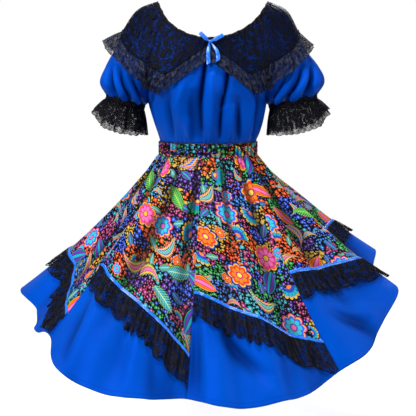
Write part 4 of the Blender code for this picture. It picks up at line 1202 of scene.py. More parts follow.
@dataclass
class Blouse:
    """The gathered bodice and the puffed sleeves, in royal blue broadcloth."""

    finish: Finish
    rows: int = 80
    columns: int = 156
    # folds in shares of the panel: across from its right edge, down from the neckline
    front: tuple[Crease, ...] = (
        Crease((0.482, 0.14), (0.462, 0.99), -0.0140, 0.022, -0.35),
        Crease((0.668, 0.18), (0.590, 0.68), -0.0130, 0.022, -0.30),
        Crease((0.590, 0.60), (0.575, 0.96), -0.0100, 0.024, -0.30),
        Crease((0.525, 0.40), (0.520, 0.99), 0.0090, 0.022),
        Crease((0.420, 0.55), (0.405, 0.99), -0.0125, 0.028, 0.20),
        Crease((0.360, 0.40), (0.345, 0.80), 0.0100, 0.026),
        Crease((0.385, 0.80), (0.395, 1.00), 0.0110, 0.022),
        Crease((0.285, 0.58), (0.255, 0.99), -0.0135, 0.026, -0.30),
        Crease((0.190, 0.58), (0.150, 0.98), 0.0100, 0.030),
        Crease((0.110, 0.62), (0.060, 0.98), -0.0165, 0.034, 0.20),
        Crease((0.640, 0.70), (0.640, 0.99), 0.0090, 0.022),
        Crease((0.680, 0.62), (0.710, 0.99), -0.0130, 0.024, -0.30),
        Crease((0.750, 0.50), (0.790, 0.98), 0.0100, 0.026),
        Crease((0.830, 0.56), (0.865, 0.98), -0.0140, 0.026, -0.20),
        Crease((0.905, 0.60), (0.930, 0.98), 0.0080, 0.022),
        Crease((0.483, 0.12), (0.464, 0.90), -0.0095, 0.008, -0.20),
        Crease((0.670, 0.16), (0.592, 0.68), -0.0090, 0.008, -0.20),
        Crease((0.590, 0.62), (0.576, 0.95), -0.0065, 0.008, -0.20),
    )
    back: tuple[Crease, ...] = (
        Crease((0.16, 0.98), (0.22, 0.60), 0.0054, 0.024),
        Crease((0.28, 0.98), (0.33, 0.45), -0.0051, 0.020),
        Crease((0.38, 0.99), (0.41, 0.52), 0.0051, 0.022),
        Crease((0.49, 0.98), (0.47, 0.38), -0.0054, 0.020),
        Crease((0.57, 0.99), (0.56, 0.50), 0.0054, 0.022),
        Crease((0.68, 0.98), (0.64, 0.42), -0.0048, 0.022),
        Crease((0.80, 0.98), (0.76, 0.60), 0.0054, 0.024),
        Crease((0.90, 0.97), (0.86, 0.66), -0.0051, 0.022),
    )
    # folds of a sleeve: across from its front seam over the arm, down from the neckline
    sleeve: tuple[Crease, ...] = (
        Crease((0.07, 0.99), (0.15, 0.66), -0.0115, 0.023, -0.20),
        Crease((0.13, 0.98), (0.21, 0.58), 0.0076, 0.024),
        Crease((0.19, 1.00), (0.26, 0.62), -0.0129, 0.023, -0.20),
        Crease((0.25, 0.99), (0.31, 0.54), 0.0083, 0.026),
        Crease((0.31, 1.00), (0.35, 0.66), -0.0123, 0.022, -0.20),
        Crease((0.37, 0.99), (0.39, 0.56), 0.0083, 0.026),
        Crease((0.44, 1.00), (0.44, 0.62), -0.0115, 0.024, -0.20),
        Crease((0.51, 0.99), (0.50, 0.58), 0.0076, 0.027),
        Crease((0.58, 1.00), (0.56, 0.64), -0.0115, 0.023, -0.20),
        Crease((0.65, 0.99), (0.62, 0.56), 0.0078, 0.027),
        Crease((0.72, 1.00), (0.69, 0.63), -0.0115, 0.023, -0.20),
        Crease((0.79, 0.99), (0.76, 0.58), 0.0076, 0.026),
        Crease((0.86, 1.00), (0.82, 0.66), -0.0112, 0.024, -0.20),
        Crease((0.93, 0.99), (0.88, 0.64), 0.0069, 0.024),
    )

    def panel(self, front: bool) -> None:
        """Builds the bodice's front or back.

        Args:
            front: Whether it is the front.
        """
        across = np.linspace(-1.0, 1.0, self.columns)[None, :]
        down = np.linspace(0.0, WAIST, self.rows)[:, None]
        points = bodice_form(front, across, down)
        face = -1.0 if front else 1.0
        normals = normals_of(points, np.array([0.0, 0.0, -0.25]))
        around = np.abs(across) if front else 3.0 - np.abs(across)
        below = eased((down - collar_edge(around) + 0.05) / 0.14)
        foot = 1.0 - 0.85 * bump_at(down, WAIST, 0.05)
        folds = creased(self.front if front else self.back, (across + 1) / 2, down / WAIST) * below * foot
        lift = folds + 0.0008 * smooth_noise(across * 5, down * 4, 1.0 + face) * below
        gather = np.sin(across * 70 + 3 * np.sin(across * 17)) * bump_at(down, WAIST, 0.07)
        lift += 0.0010 * gather - 0.0007 * bump_at(np.abs(across), 1.0, 0.02)
        Cloth(
            name="bodice_front" if front else "bodice_back",
            points=points + normals * lift[..., None],
            finish=self.finish,
            flat=(0.50, 0.36) if front else (0.47, 0.36),
            share=0.80,
            held=Held.GATHERED,
            outward=(0.0, face, 0.0),
            # painted shade down in the creases
            relief=folds,
            rests_on=("waist_piping", "neckband"),
        ).build()

    def sleeve_of(self, side: Side) -> None:
        """Builds one sleeve.

        Args:
            side: The side of the dress.
        """
        across = np.linspace(-1.0, 1.0, self.columns)[None, :]
        down = np.linspace(0.0, CUFF, self.rows)[:, None]
        points = sleeve_form(side, across, down)
        inside = points[:, :1] * 0.5 + points[:, -1:] * 0.5
        centre = (inside + points.mean(axis=1, keepdims=True)) / 2
        normals = normals_of(points, centre)
        below = eased((down - collar_edge(across / 2 + 1.5) + 0.04) / 0.14)
        folds = creased(self.sleeve, (across + 1) / 2, down / CUFF) * below
        lift = folds + 0.0010 * smooth_noise(across * 6, down * 5, 2.0 + side.value) * below
        gather = np.sin(across * 75 + 2 * np.sin(across * 23)) * bump_at(down, CUFF, 0.06)
        lift += 0.0012 * gather
        shut = 1.0 - np.abs(across) ** 30 * (down > 0.9)
        Cloth(
            name=f"sleeve_{side.label}",
            points=points + normals * (lift * shut)[..., None],
            finish=self.finish,
            flat=(0.56, 0.31),
            share=0.68,
            held=Held.GATHERED,
            outward=points - centre,
            # painted shade in the folds, half again as strong as their depth
            relief=folds * 1.5,
            rests_on=(f"cuff_band_{side.label}", "neckband"),
        ).build()

    def build(self) -> None:
        """Builds the bodice and both sleeves."""
        self.panel(True)
        self.panel(False)
        for side in Side:
            self.sleeve_of(side)


@dataclass
class Neckline:
    """The lace casing of the neck, the flat lace collar, the braid on its lower seam and the ruffle below it."""

    finish: Finish
    edging: Finish
    casing: Finish
    gap: float = 0.003  # from the centre lines to the collar's halves
    band_above: float = 0.008
    band_down: float = 0.045
    ruffle_depth: float = 0.045
    braid: float = 0.0045
    stand: tuple[tuple[Side, float], ...] = ((Side.LEFT, 16.0), (Side.RIGHT, 36.0))

    def band(self) -> None:
        """Builds the gathered casing, one tube round the neck."""
        half = np.linspace(0.0, 3.0, 220)
        down = np.linspace(-self.band_above, self.band_down, 9)[:, None]
        share = (down + self.band_above) / (self.band_down + self.band_above)
        halves = []
        for side, around in ((Side.LEFT, half), (Side.RIGHT, half[::-1])):
            turn = around if side is Side.LEFT else 6.0 - around
            wave = 0.5 + 0.5 * np.sin(turn * 59 + 2.2 * np.sin(turn * 9) + share * 1.5)
            lift = ON_TOP + 0.0006 + bridge(around) * 0.3 + 0.0024 * wave * (0.55 + 0.45 * share)
            place = down - 0.004 * (np.sin(turn * 83) * 0.5 + np.sin(turn * 31)) * (1 - share)
            halves.append(laid(side, around, place, np.broadcast_to(lift, place.shape)))
        points = np.concatenate([halves[0], halves[1][:, 1:]], axis=1)
        points[:, -1] = points[:, 0]
        axis = points.mean(axis=(0, 1))
        Cloth(
            name="neckband",
            points=points,
            finish=self.casing,
            flat=(1.05, 0.012),
            held=Held.GATHERED,
            outward=points - axis,
            wall=NET,
            closed=True,
            gathered=True,
            rests_on=("bodice_front", "bodice_back", "sleeve_left", "sleeve_right"),
        ).build()

    def collar(self, side: Side) -> None:
        """Builds one half of the collar and the braid on its lower seam.

        Args:
            side: The side of the dress.
        """
        around = np.linspace(self.gap, 3.0 - self.gap, 230)[None, :]
        share = np.linspace(0.0, 1.0, 40)[:, None]
        top = self.band_down + 0.0035
        down = top + (collar_edge(around) - top) * share
        folds = 0.0009 * np.sin(around * 31 + 1.6 * np.sin(around * 7 + side.value)) * np.sin(math.pi * share)
        gathers = 0.0008 * np.sin(around * 70 + 2 * np.sin(around * 11)) * np.exp(-share / 0.25)
        lift = collar_base(around) + np.maximum(folds + gathers, -0.0007) + 0.0006 * share
        points = laid(side, around, down, lift)
        Cloth(
            name=f"collar_{side.label}",
            points=points,
            finish=self.finish,
            flat=(0.78, 0.14),
            share=0.68,
            held=Held.LAID,
            outward=from_axis(points),
            wall=NET,
            gathered=True,
            rests_on=("bodice_front", "bodice_back", f"sleeve_{side.label}"),
        ).build()
        share = np.linspace(0.0, 1.0, 7)[:, None]
        down = collar_edge(around) - down_for(around, self.braid * (1 - share))
        lift = collar_base(around) + NET + 0.0009 + 0.0008 * np.sin(math.pi * share)
        lift = lift + 0.0004 * np.sin(around * 190)
        points = laid(side, around, down, lift)
        Cloth(
            name=f"collar_braid_{side.label}",
            points=points,
            finish=self.finish,
            flat=(0.78, 0.010),
            share=0.45,
            held=Held.LAID,
            outward=from_axis(points),
            wall=NET * 2,
            gathered=True,
            rests_on=(f"collar_{side.label}",),
        ).build()

    def ruffle(self, side: Side) -> None:
        """Builds the gathered lace below one half of the collar.

        Args:
            side: The side of the dress.
        """
        around = np.linspace(self.gap, 3.0 - self.gap, 520)[None, :]
        share = np.linspace(0.0, 1.0, 18)[:, None]
        shoulder = np.exp(-(((around - 1.5) / 0.28) ** 2))
        angle = np.radians(dict(self.stand)[side]) * shoulder
        scallop = 1.0 + 0.055 * np.abs(np.sin(around * 52)) * share
        uneven = 1.0 + 0.05 * smooth_noise(around * 9, share, side.value * 3)
        fallen = 0.0004 + self.ruffle_depth * share * np.cos(angle) * scallop * uneven
        down = collar_edge(around) + down_for(around, fallen)
        wave = 0.5 + 0.5 * np.sin(around * 56 + 2.4 * np.sin(around * 7.3 + side.value) + share * 0.8)
        fine = 0.5 + 0.5 * np.sin(around * 141 + 2 * np.sin(around * 13))
        lift = (0.0045 + self.ruffle_depth * np.sin(angle)) * share
        lift = lift + (0.0010 + 0.0048 * share) * wave + 0.0012 * fine * (1 - 0.5 * share)
        points = laid(side, around, down, collar_base(around) + lift)
        Cloth(
            name=f"collar_ruffle_{side.label}",
            points=points,
            finish=self.edging,
            flat=(1.06, 0.050),
            held=Held.GATHERED,
            outward=from_axis(points),
            wall=NET,
            gathered=True,
            pattern_at=(0.0, 0.31 * side.value),
            edges=(1.0 - share) * self.ruffle_depth * np.ones_like(around),
            rests_on=(f"collar_{side.label}",),
        ).build()

    def build(self) -> None:
        """Builds the casing, then the collar's pieces on each side."""
        self.band()
        for side in Side:
            self.collar(side)
            self.ruffle(side)


@dataclass
class Cuffs:
    """The elastic lace band at the end of each sleeve and the flared lace ruffle below it."""

    finish: Finish
    casing: Finish
    band_top: float = -0.0030
    band_width: float = 0.0138
    drop: float = 0.0730
    slant: float = 0.36
    bulge: float = 0.15
    spread: float = 0.0250

    def at(self, side: Side, angle: np.ndarray, out: np.ndarray, along: np.ndarray) -> np.ndarray:
        """Points round the end of a sleeve.

        Args:
            side: The sleeve's side.
            angle: Round the arm from its outer side.
            out: The distance out from the sleeve's own oval.
            along: The distance along the arm from the sleeve's end.

        Returns:
            The points, with one more axis of length 3.
        """
        _, top_x, top_z, depth, _, edge_x, edge_z = SLEEVE.rows[-1]
        outer = np.array([side.value * top_x + SLEEVE_SWING, 0.0, top_z])
        inner = np.array([side.value * edge_x, 0.0, edge_z])
        half = float(np.linalg.norm(outer - inner)) / 2
        across = (outer - inner) / (2 * half)
        forearm = np.array([across[2], 0.0, -across[0]]) * side.value
        angle, out, along = np.broadcast_arrays(angle, out, along)
        points = (outer + inner) / 2 + across * ((half + out) * np.cos(angle))[..., None]
        points = points + forearm * along[..., None]
        points[..., 1] += (depth + out) * np.sin(angle)
        return leaning(points)

    def pieces(self, side: Side) -> None:
        """Builds the band and the ruffle of one sleeve.

        Args:
            side: The sleeve's side.
        """
        turn = np.linspace(0.0, 2 * math.pi, 241)[None, :]
        share = np.linspace(0.0, 1.0, 9)[:, None]
        wave = 0.5 + 0.5 * np.sin(turn * 26 + 1.5 * np.sin(turn * 5))
        dips = 0.6 + 0.4 * np.cos(share * 4 * math.pi)
        out = 0.0016 + 0.0024 * wave * dips
        points = self.at(side, turn, out, self.band_top + self.band_width * share)
        centre = points.mean(axis=(0, 1))
        Cloth(
            name=f"cuff_band_{side.label}",
            points=points,
            finish=self.casing,
            flat=(0.42, 0.020),
            share=0.50,
            held=Held.GATHERED,
            outward=points - centre,
            wall=NET * 2,
            closed=True,
            gathered=True,
            rests_on=(f"sleeve_{side.label}",),
        ).build()
        turn = np.linspace(0.0, 2 * math.pi, 421)[None, :]
        share = np.linspace(0.0, 1.0, 19)[:, None]
        start = self.band_top + self.band_width + 0.0001
        shorter = self.slant * np.maximum(0.0, np.cos(turn)) ** 4
        drop = self.drop * (1.0 - shorter + self.bulge * np.sin(turn) ** 2)
        drop = drop * (1.0 + 0.035 * np.abs(np.sin(turn * 17)) * share)
        wave = np.sin(turn * 10 + 0.9 * np.sin(turn * 3 + side.value)) * 0.0050
        wave = wave + np.sin(turn * 23 + 1.2 * np.sin(turn * 4)) * 0.0016
        out = 0.0006 + self.spread * share**0.7 + wave * share**0.8
        out = out + 0.0006 * np.sin(turn * 52) * (1 - share)
        points = self.at(side, turn, out, start + (drop - start) * share)
        Cloth(
            name=f"cuff_ruffle_{side.label}",
            points=points,
            finish=self.finish,
            flat=(0.62, 0.070),
            held=Held.GATHERED,
            outward=points - points.mean(axis=(0, 1)),
            wall=NET,
            closed=True,
            gathered=True,
            edges=(1.0 - share) * self.drop * np.ones_like(turn),
            rests_on=(f"cuff_band_{side.label}",),
        ).build()

    def build(self) -> None:
        """Builds both cuffs."""
        for side in Side:
            self.pieces(side)


@dataclass
class Waist:
    """The printed waistband, gathered on its elastic, and the dark piping in the seam above it."""

    band_finish: Finish
    piping_finish: Finish
    piping: float = 0.0024
    stand_off: float = 0.0010

    def band(self) -> None:
        """Builds the waistband."""
        turn = np.linspace(0.0, 2 * math.pi, 421)[None, :]
        share = np.linspace(0.0, 1.0, 17)[:, None]
        wave = 0.5 + 0.5 * np.sin(turn * 58 + 2.0 * np.sin(turn * 9) + share * 0.7)
        rows = 0.5 + 0.5 * np.cos(share * 6 * math.pi)
        swell = 0.0008 + 0.0042 * wave * (0.80 + 0.20 * rows)
        x = (WAIST_HALF_WIDTH + swell) * np.sin(turn)
        y = -(WAIST_HALF_DEPTH + swell) * np.cos(turn)
        points = stacked(x, y, BAND_TOP_Z + (BAND_BOTTOM_Z - 0.0012 - BAND_TOP_Z) * share)
        Cloth(
            name="waistband",
            points=points,
            finish=self.band_finish,
            flat=(1.05, 0.035),
            held=Held.GATHERED,
            outward=points * np.array([1.0, 1.0, 0.0]),
            closed=True,
            gathered=True,
            # painted shade in the troughs between the gathers, deeper than their waves
            relief=0.016 * (wave - 1.0),
            pattern_at=(2.3, 0.4),
            rests_on=("waist_piping", "print_front_left"),
        ).build()

    def cord(self) -> None:
        """Builds the piping, a closed cord round the waist."""
        rounds, sides = 240, 12
        deselect()
        bpy.ops.mesh.primitive_torus_add(
            major_segments=rounds, minor_segments=sides, major_radius=WAIST_HALF_WIDTH, minor_radius=self.piping / 2
        )
        item = bpy.context.object
        item.name = item.data.name = "waist_piping_cord"
        turn, around = np.meshgrid(
            np.arange(rounds) * 2 * math.pi / rounds, np.arange(sides) * 2 * math.pi / sides, indexing="ij"
        )
        out = self.stand_off + self.piping / 2 * (1 + np.cos(around))
        z = BODICE_BOTTOM_Z - 0.0003 - PIPING_HEIGHT / 2 + PIPING_HEIGHT / 2 * np.sin(around)
        points = stacked((WAIST_HALF_WIDTH + out) * np.cos(turn), (WAIST_HALF_DEPTH + out) * np.sin(turn), z)
        item.data.vertices.foreach_set("co", points.reshape(-1))
        item.data.update()
        item.location = (0.0, 0.0, 0.0)
        item.data.shade_smooth()
        self.piping_finish.dress(item)
        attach(item, "root")
        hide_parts("waist_piping")
        log.info("waist_piping: %d faces", len(item.data.polygons))

    def build(self) -> None:
        """Builds the waistband and the piping."""
        self.band()
        self.cord()


@dataclass(frozen=True)
class Gore:
    """One gore: where its right seam runs, and the slanted seam between its two panels."""

    name: str
    start: float  # azimuth of its right seam, in degrees
    high: float  # the slanted seam's share of the way from waist to hem at that seam
    low: float  # the same at its left seam
    bow: float

    def cut(self, share: np.ndarray) -> np.ndarray:
        """The slanted seam's place down the skirt at shares of the gore's width."""
        return self.high + (self.low - self.high) * share - self.bow * 4 * share * (1.0 - share)


@dataclass(frozen=True)
class Drape:
    """A soft fold of the skirt that runs down from one azimuth to another."""

    top: float  # azimuth where it starts, in degrees
    foot: float  # azimuth at the hem
    start: float  # place down the skirt
    height: float  # a ridge above 0, a trough below it
    width: float  # in degrees

    def relief(self, azimuth: np.ndarray, down: np.ndarray) -> np.ndarray:
        """How far the fold lifts the skirt.

        Args:
            azimuth: Degrees from the front centre towards the wearer's left.
            down: From 0 at the waistband to 1 at the hem.

        Returns:
            The lift, in metres.
        """
        middle = self.top + (self.foot - self.top) * down
        off = (azimuth - middle + 180.0) % 360.0 - 180.0
        return self.height * np.exp(-((off / self.width) ** 2)) * eased((down - self.start) / 0.35)


@dataclass
class Skirt:
    """The eight gores: a printed and a royal blue panel each, with satin trim and gathered lace on their seam."""

    print_finish: Finish
    plain_finish: Finish
    lace_finish: Finish
    trim_finish: Finish
    trim: float = 0.0084
    lace_depth: float = 0.056
    lace_tip: float = 0.40
    gores: tuple[Gore, ...] = (
        Gore("right", -97, 0.670, 0.880, 0.050),
        Gore("front_right", -53, 0.610, 0.830, 0.090),
        Gore("front_left", -7, 0.575, 0.865, 0.065),
        Gore("left", 43, 0.550, 0.865, 0.060),
        Gore("back_left", 86, 0.620, 0.860, 0.070),
        Gore("back_left_middle", 131, 0.600, 0.850, 0.070),
        Gore("back_right_middle", 176, 0.600, 0.850, 0.070),
        Gore("back_right", 221, 0.600, 0.860, 0.070),
    )
    drapes: tuple[Drape, ...] = (
        Drape(-80, -84, 0.10, 0.0108, 4.0),
        Drape(-66, -70, 0.15, -0.0121, 3.5),
        Drape(-52, -56, 0.05, 0.0081, 4.0),
        Drape(-38, -37, 0.12, -0.0095, 3.5),
        Drape(-25, -27, 0.20, 0.0081, 4.0),
        Drape(-14, -12, 0.10, -0.0095, 3.5),
        Drape(-4, -2, 0.08, 0.0081, 3.5),
        Drape(8, 9, 0.25, -0.0068, 3.5),
        Drape(20, 22, 0.10, 0.0081, 4.0),
        Drape(30, 35, 0.15, -0.0095, 3.5),
        Drape(44, 47, 0.10, 0.0095, 4.0),
        Drape(55, 60, 0.15, -0.0108, 4.0),
        Drape(70, 76, 0.10, 0.0095, 4.5),
        Drape(90, 94, 0.20, -0.0108, 5.0),
        Drape(108, 106, 0.10, 0.0095, 5.0),
        Drape(125, 127, 0.15, -0.0095, 5.0),
        Drape(142, 140, 0.10, 0.0095, 5.0),
        Drape(160, 163, 0.20, -0.0108, 5.0),
        Drape(178, 180, 0.10, 0.0081, 5.0),
        Drape(198, 195, 0.15, -0.0108, 5.0),
        Drape(216, 219, 0.10, 0.0095, 5.0),
        Drape(236, 238, 0.20, -0.0095, 5.0),
        Drape(253, 251, 0.10, 0.0095, 5.0),
    )

    # smaller folds below the waistband and at the hem: hundreds of degrees of azimuth, and place down
    creases: tuple[Crease, ...] = (
        Crease((-0.800, 0.10), (-0.840, 0.62), -0.0110, 0.040, 0.20),
        Crease((-0.560, 0.10), (-0.600, 0.64), -0.0100, 0.036, 0.20),
        Crease((-0.320, 0.08), (-0.350, 0.56), -0.0090, 0.034, 0.20),
        Crease((-0.110, 0.06), (-0.130, 0.40), -0.0070, 0.028),
        Crease((0.140, 0.06), (0.160, 0.46), -0.0080, 0.030),
        Crease((0.360, 0.08), (0.400, 0.52), -0.0080, 0.034, -0.20),
        Crease((0.600, 0.10), (0.660, 0.58), -0.0090, 0.036, -0.20),
        Crease((-0.045, 0.70), (-0.030, 1.02), -0.0200, 0.030, -0.35),
        Crease((0.040, 0.68), (0.195, 0.90), -0.0170, 0.026, -0.30),
        Crease((0.030, 0.82), (0.060, 1.02), 0.0080, 0.040),
        Crease((0.290, 0.82), (0.270, 1.00), -0.0080, 0.030),
        Crease((0.400, 0.86), (0.390, 1.02), -0.0110, 0.026),
        Crease((0.500, 0.76), (0.600, 0.94), -0.0130, 0.028, -0.30),
        Crease((0.560, 0.80), (0.680, 0.98), 0.0090, 0.030),
        Crease((0.650, 0.74), (0.760, 0.92), -0.0120, 0.028, -0.20),
        Crease((0.820, 0.70), (0.860, 0.98), -0.0110, 0.030),
        Crease((-0.480, 0.72), (-0.420, 0.98), -0.0130, 0.028, -0.25),
        Crease((-0.370, 0.76), (-0.340, 1.00), 0.0090, 0.034),
        Crease((-0.300, 0.72), (-0.270, 0.97), -0.0120, 0.028, -0.25),
        Crease((-0.200, 0.80), (-0.160, 1.02), -0.0120, 0.026),
        Crease((-0.640, 0.78), (-0.620, 1.00), -0.0130, 0.030),
        Crease((-0.800, 0.70), (-0.760, 0.97), -0.0120, 0.030, -0.20),
        Crease((-0.710, 0.76), (-0.700, 0.98), 0.0090, 0.034),
        Crease((1.000, 0.72), (0.960, 0.98), -0.0110, 0.032),
        Crease((1.180, 0.70), (1.220, 0.98), -0.0130, 0.032),
        Crease((1.380, 0.72), (1.350, 0.98), -0.0120, 0.030),
        Crease((1.560, 0.70), (1.600, 1.00), -0.0140, 0.032),
        Crease((1.760, 0.70), (1.740, 0.98), -0.0120, 0.032),
        Crease((1.950, 0.72), (2.000, 0.98), -0.0130, 0.032),
        Crease((2.150, 0.70), (2.120, 0.98), -0.0120, 0.032),
        Crease((2.360, 0.72), (2.400, 0.98), -0.0130, 0.032),
        Crease((2.560, 0.72), (2.540, 0.98), -0.0110, 0.032),
    )

    def folds(self, azimuth: np.ndarray, down: np.ndarray) -> np.ndarray:
        """How far the folds lift the skirt's cloth, with the small pleats below the waistband.

        Args:
            azimuth: Degrees from the front centre towards the wearer's left.
            down: From 0 at the waistband to 1 at the hem.

        Returns:
            The lift, in metres.
        """
        a = np.radians(azimuth)
        broad = sum((d.relief(azimuth, down) for d in self.drapes), np.zeros(np.broadcast(azimuth, down).shape))
        pleat = np.sin(a * 61 + 2.0 * np.sin(a * 9)) + 0.6 * np.sin(a * 37 + 1.0)
        fade = np.exp(-down / 0.16) * eased(down / 0.012)
        return broad + 0.0016 * pleat * fade + creased(self.creases, azimuth / 100, down)

    def at(self, azimuth: np.ndarray, down: np.ndarray, lift: np.ndarray | float = 0.0) -> np.ndarray:
        """Points of the skirt's cloth with its folds, or of what lies above it.

        Args:
            azimuth: Degrees from the front centre towards the wearer's left.
            down: From 0 at the waistband to 1 at the hem.
            lift: The height above the cloth, in metres.

        Returns:
            The points, with one more axis of length 3.
        """
        azimuth, down = np.broadcast_arrays(azimuth, down)

        def cloth(a: np.ndarray, d: np.ndarray) -> np.ndarray:
            """The smooth form."""
            return skirt_form(a, np.maximum(d, 0.0))

        across = cloth(azimuth + 0.4, down) - cloth(azimuth - 0.4, down)
        along = cloth(azimuth, down + 0.01) - cloth(azimuth, down - 0.01)
        normal = np.cross(across, along)
        normal /= -np.maximum(np.linalg.norm(normal, axis=-1, keepdims=True), 1e-12)
        return cloth(azimuth, down) + normal * (self.folds(azimuth, down) + lift)[..., None]

    def outwards(self, azimuth: np.ndarray) -> np.ndarray:
        """The directions in which the skirt's outside faces, sideways and a little up."""
        return stacked(np.sin(np.radians(azimuth)), -np.cos(np.radians(azimuth)), 0.4)

    def panels(self, gore: Gore, end: float, index: int) -> None:
        """Builds a gore's printed and plain panels.

        Args:
            gore: The gore.
            end: The azimuth of its left seam.
            index: Its number round the waist.
        """
        share = np.linspace(0.0, 1.0, 61)[None, :]
        azimuth = gore.start + (end - gore.start) * share
        outward = self.outwards(azimuth)
        cut = gore.cut(share)
        down = np.linspace(0.0, 1.0, 90)[:, None] ** 1.15 * cut
        Cloth(
            name=f"print_{gore.name}",
            points=self.at(azimuth, down),
            finish=self.print_finish,
            flat=(0.36, 0.50),
            share=0.50,
            held=Held.GATHERED,
            outward=outward,
            # painted shade in the folds, much stronger in the pleats just below the waistband
            relief=self.folds(azimuth, down) * (1.2 + 7.0 * np.exp(-down / 0.13)),
            pattern_at=(0.43 * index, 0.29 * index),
            rests_on=("waistband", f"hem_{gore.name}"),
        ).build()
        down = cut + np.linspace(0.0, 1.0, 50)[:, None] * (1.0 - cut)
        length = lengths(self.at(azimuth, down), 0)
        Cloth(
            name=f"hem_{gore.name}",
            points=self.at(azimuth, down),
            finish=self.plain_finish,
            flat=(0.46, 0.27),
            share=0.52,
            held=Held.HUNG,
            outward=outward,
            edges=length[-1:] - length,
            # painted shade in the folds, a little weaker than their depth
            relief=self.folds(azimuth, down) * 0.8,
            rests_on=(f"print_{gore.name}",),
        ).build()

    def trimming(self, gore: Gore, end: float, index: int) -> None:
        """Builds the satin trim and the lace of a gore's slanted seam.

        Args:
            gore: The gore.
            end: The azimuth of its left seam.
            index: Its number round the waist.
        """
        share = np.linspace(0.0, 1.0, 121)[None, :]
        azimuth = gore.start + (end - gore.start) * share
        outward = self.outwards(azimuth)
        middle = (gore.start + end) / 2
        length = float(np.linalg.norm(skirt_form(middle, np.float64(1.0)) - skirt_form(middle, np.float64(0.0))))
        across = np.linspace(-1.0, 1.0, 9)[:, None]
        down = gore.cut(share) + across * self.trim / 2 / length
        crown = 0.0009 * (1 - across**2) + 0.0003 * np.sin(share * 70 + across)
        Cloth(
            name=f"trim_{gore.name}",
            points=self.at(azimuth, down, ON_TOP + 0.0006 + crown),
            finish=self.trim_finish,
            flat=(0.35, 0.010),
            share=0.85,
            held=Held.LAID,
            outward=outward,
            rests_on=(f"print_{gore.name}", f"hem_{gore.name}"),
        ).build()
        share = np.linspace(0.0, 1.0, 361)[None, :]
        azimuth = gore.start + (end - gore.start) * share
        outward = self.outwards(azimuth)
        fall = np.linspace(0.0, 1.0, 14)[:, None]
        depth = self.lace_depth * (1.0 + self.lace_tip * share**4)
        scallop = np.abs(np.sin(share * 33 + 2.0 * np.sin(share * 9 + index)))
        depth = depth * (1.0 + 0.25 * scallop * fall) * (1.0 + 0.12 * smooth_noise(share * 15, fall, index))
        down = np.minimum(gore.cut(share) + (self.trim / 2 + depth * fall) / length, 0.992)
        sway = 3.2 * np.sin(share * 7.3 + index * 1.7) + 1.6 * np.sin(share * 19 + index)
        wave = 0.5 + 0.5 * np.sin(share * 62 + sway + fall * 0.9)
        fine = 0.5 + 0.5 * np.sin(share * 150 + 3.0 * np.sin(share * 21 + index))
        sewn = 1.0 - 0.8 * np.abs(2 * share - 1) ** 14
        swell = 0.0088 * wave * (0.2 + 0.8 * fall) + 0.0024 * fine * (1 - 0.4 * fall)
        lift = ON_TOP + 0.0006 + 0.0012 * fall + swell * sewn
        Cloth(
            name=f"lace_{gore.name}",
            points=self.at(azimuth, down, lift),
            finish=self.lace_finish,
            flat=(0.44, 0.062),
            share=0.88,
            held=Held.GATHERED,
            outward=outward,
            wall=NET,
            gathered=True,
            # the net grows denser in the gathers' troughs: partly the lace bunching, partly painted shade
            relief=-0.015 * (1.0 - wave) ** 2 * (1.0 - 0.9 * fall),
            pattern_at=(0.19 * index, 0.61 * index),
            edges=(1.0 - fall) * self.lace_depth * np.ones_like(share),
            rests_on=(f"hem_{gore.name}",),
        ).build()

    def build(self) -> None:
        """Builds the gores in order round the waist."""
        ends = [gore.start for gore in self.gores[1:]] + [self.gores[0].start + 360]
        for index, (gore, end) in enumerate(zip(self.gores, ends)):
            self.panels(gore, end, index)
            self.trimming(gore, end, index)


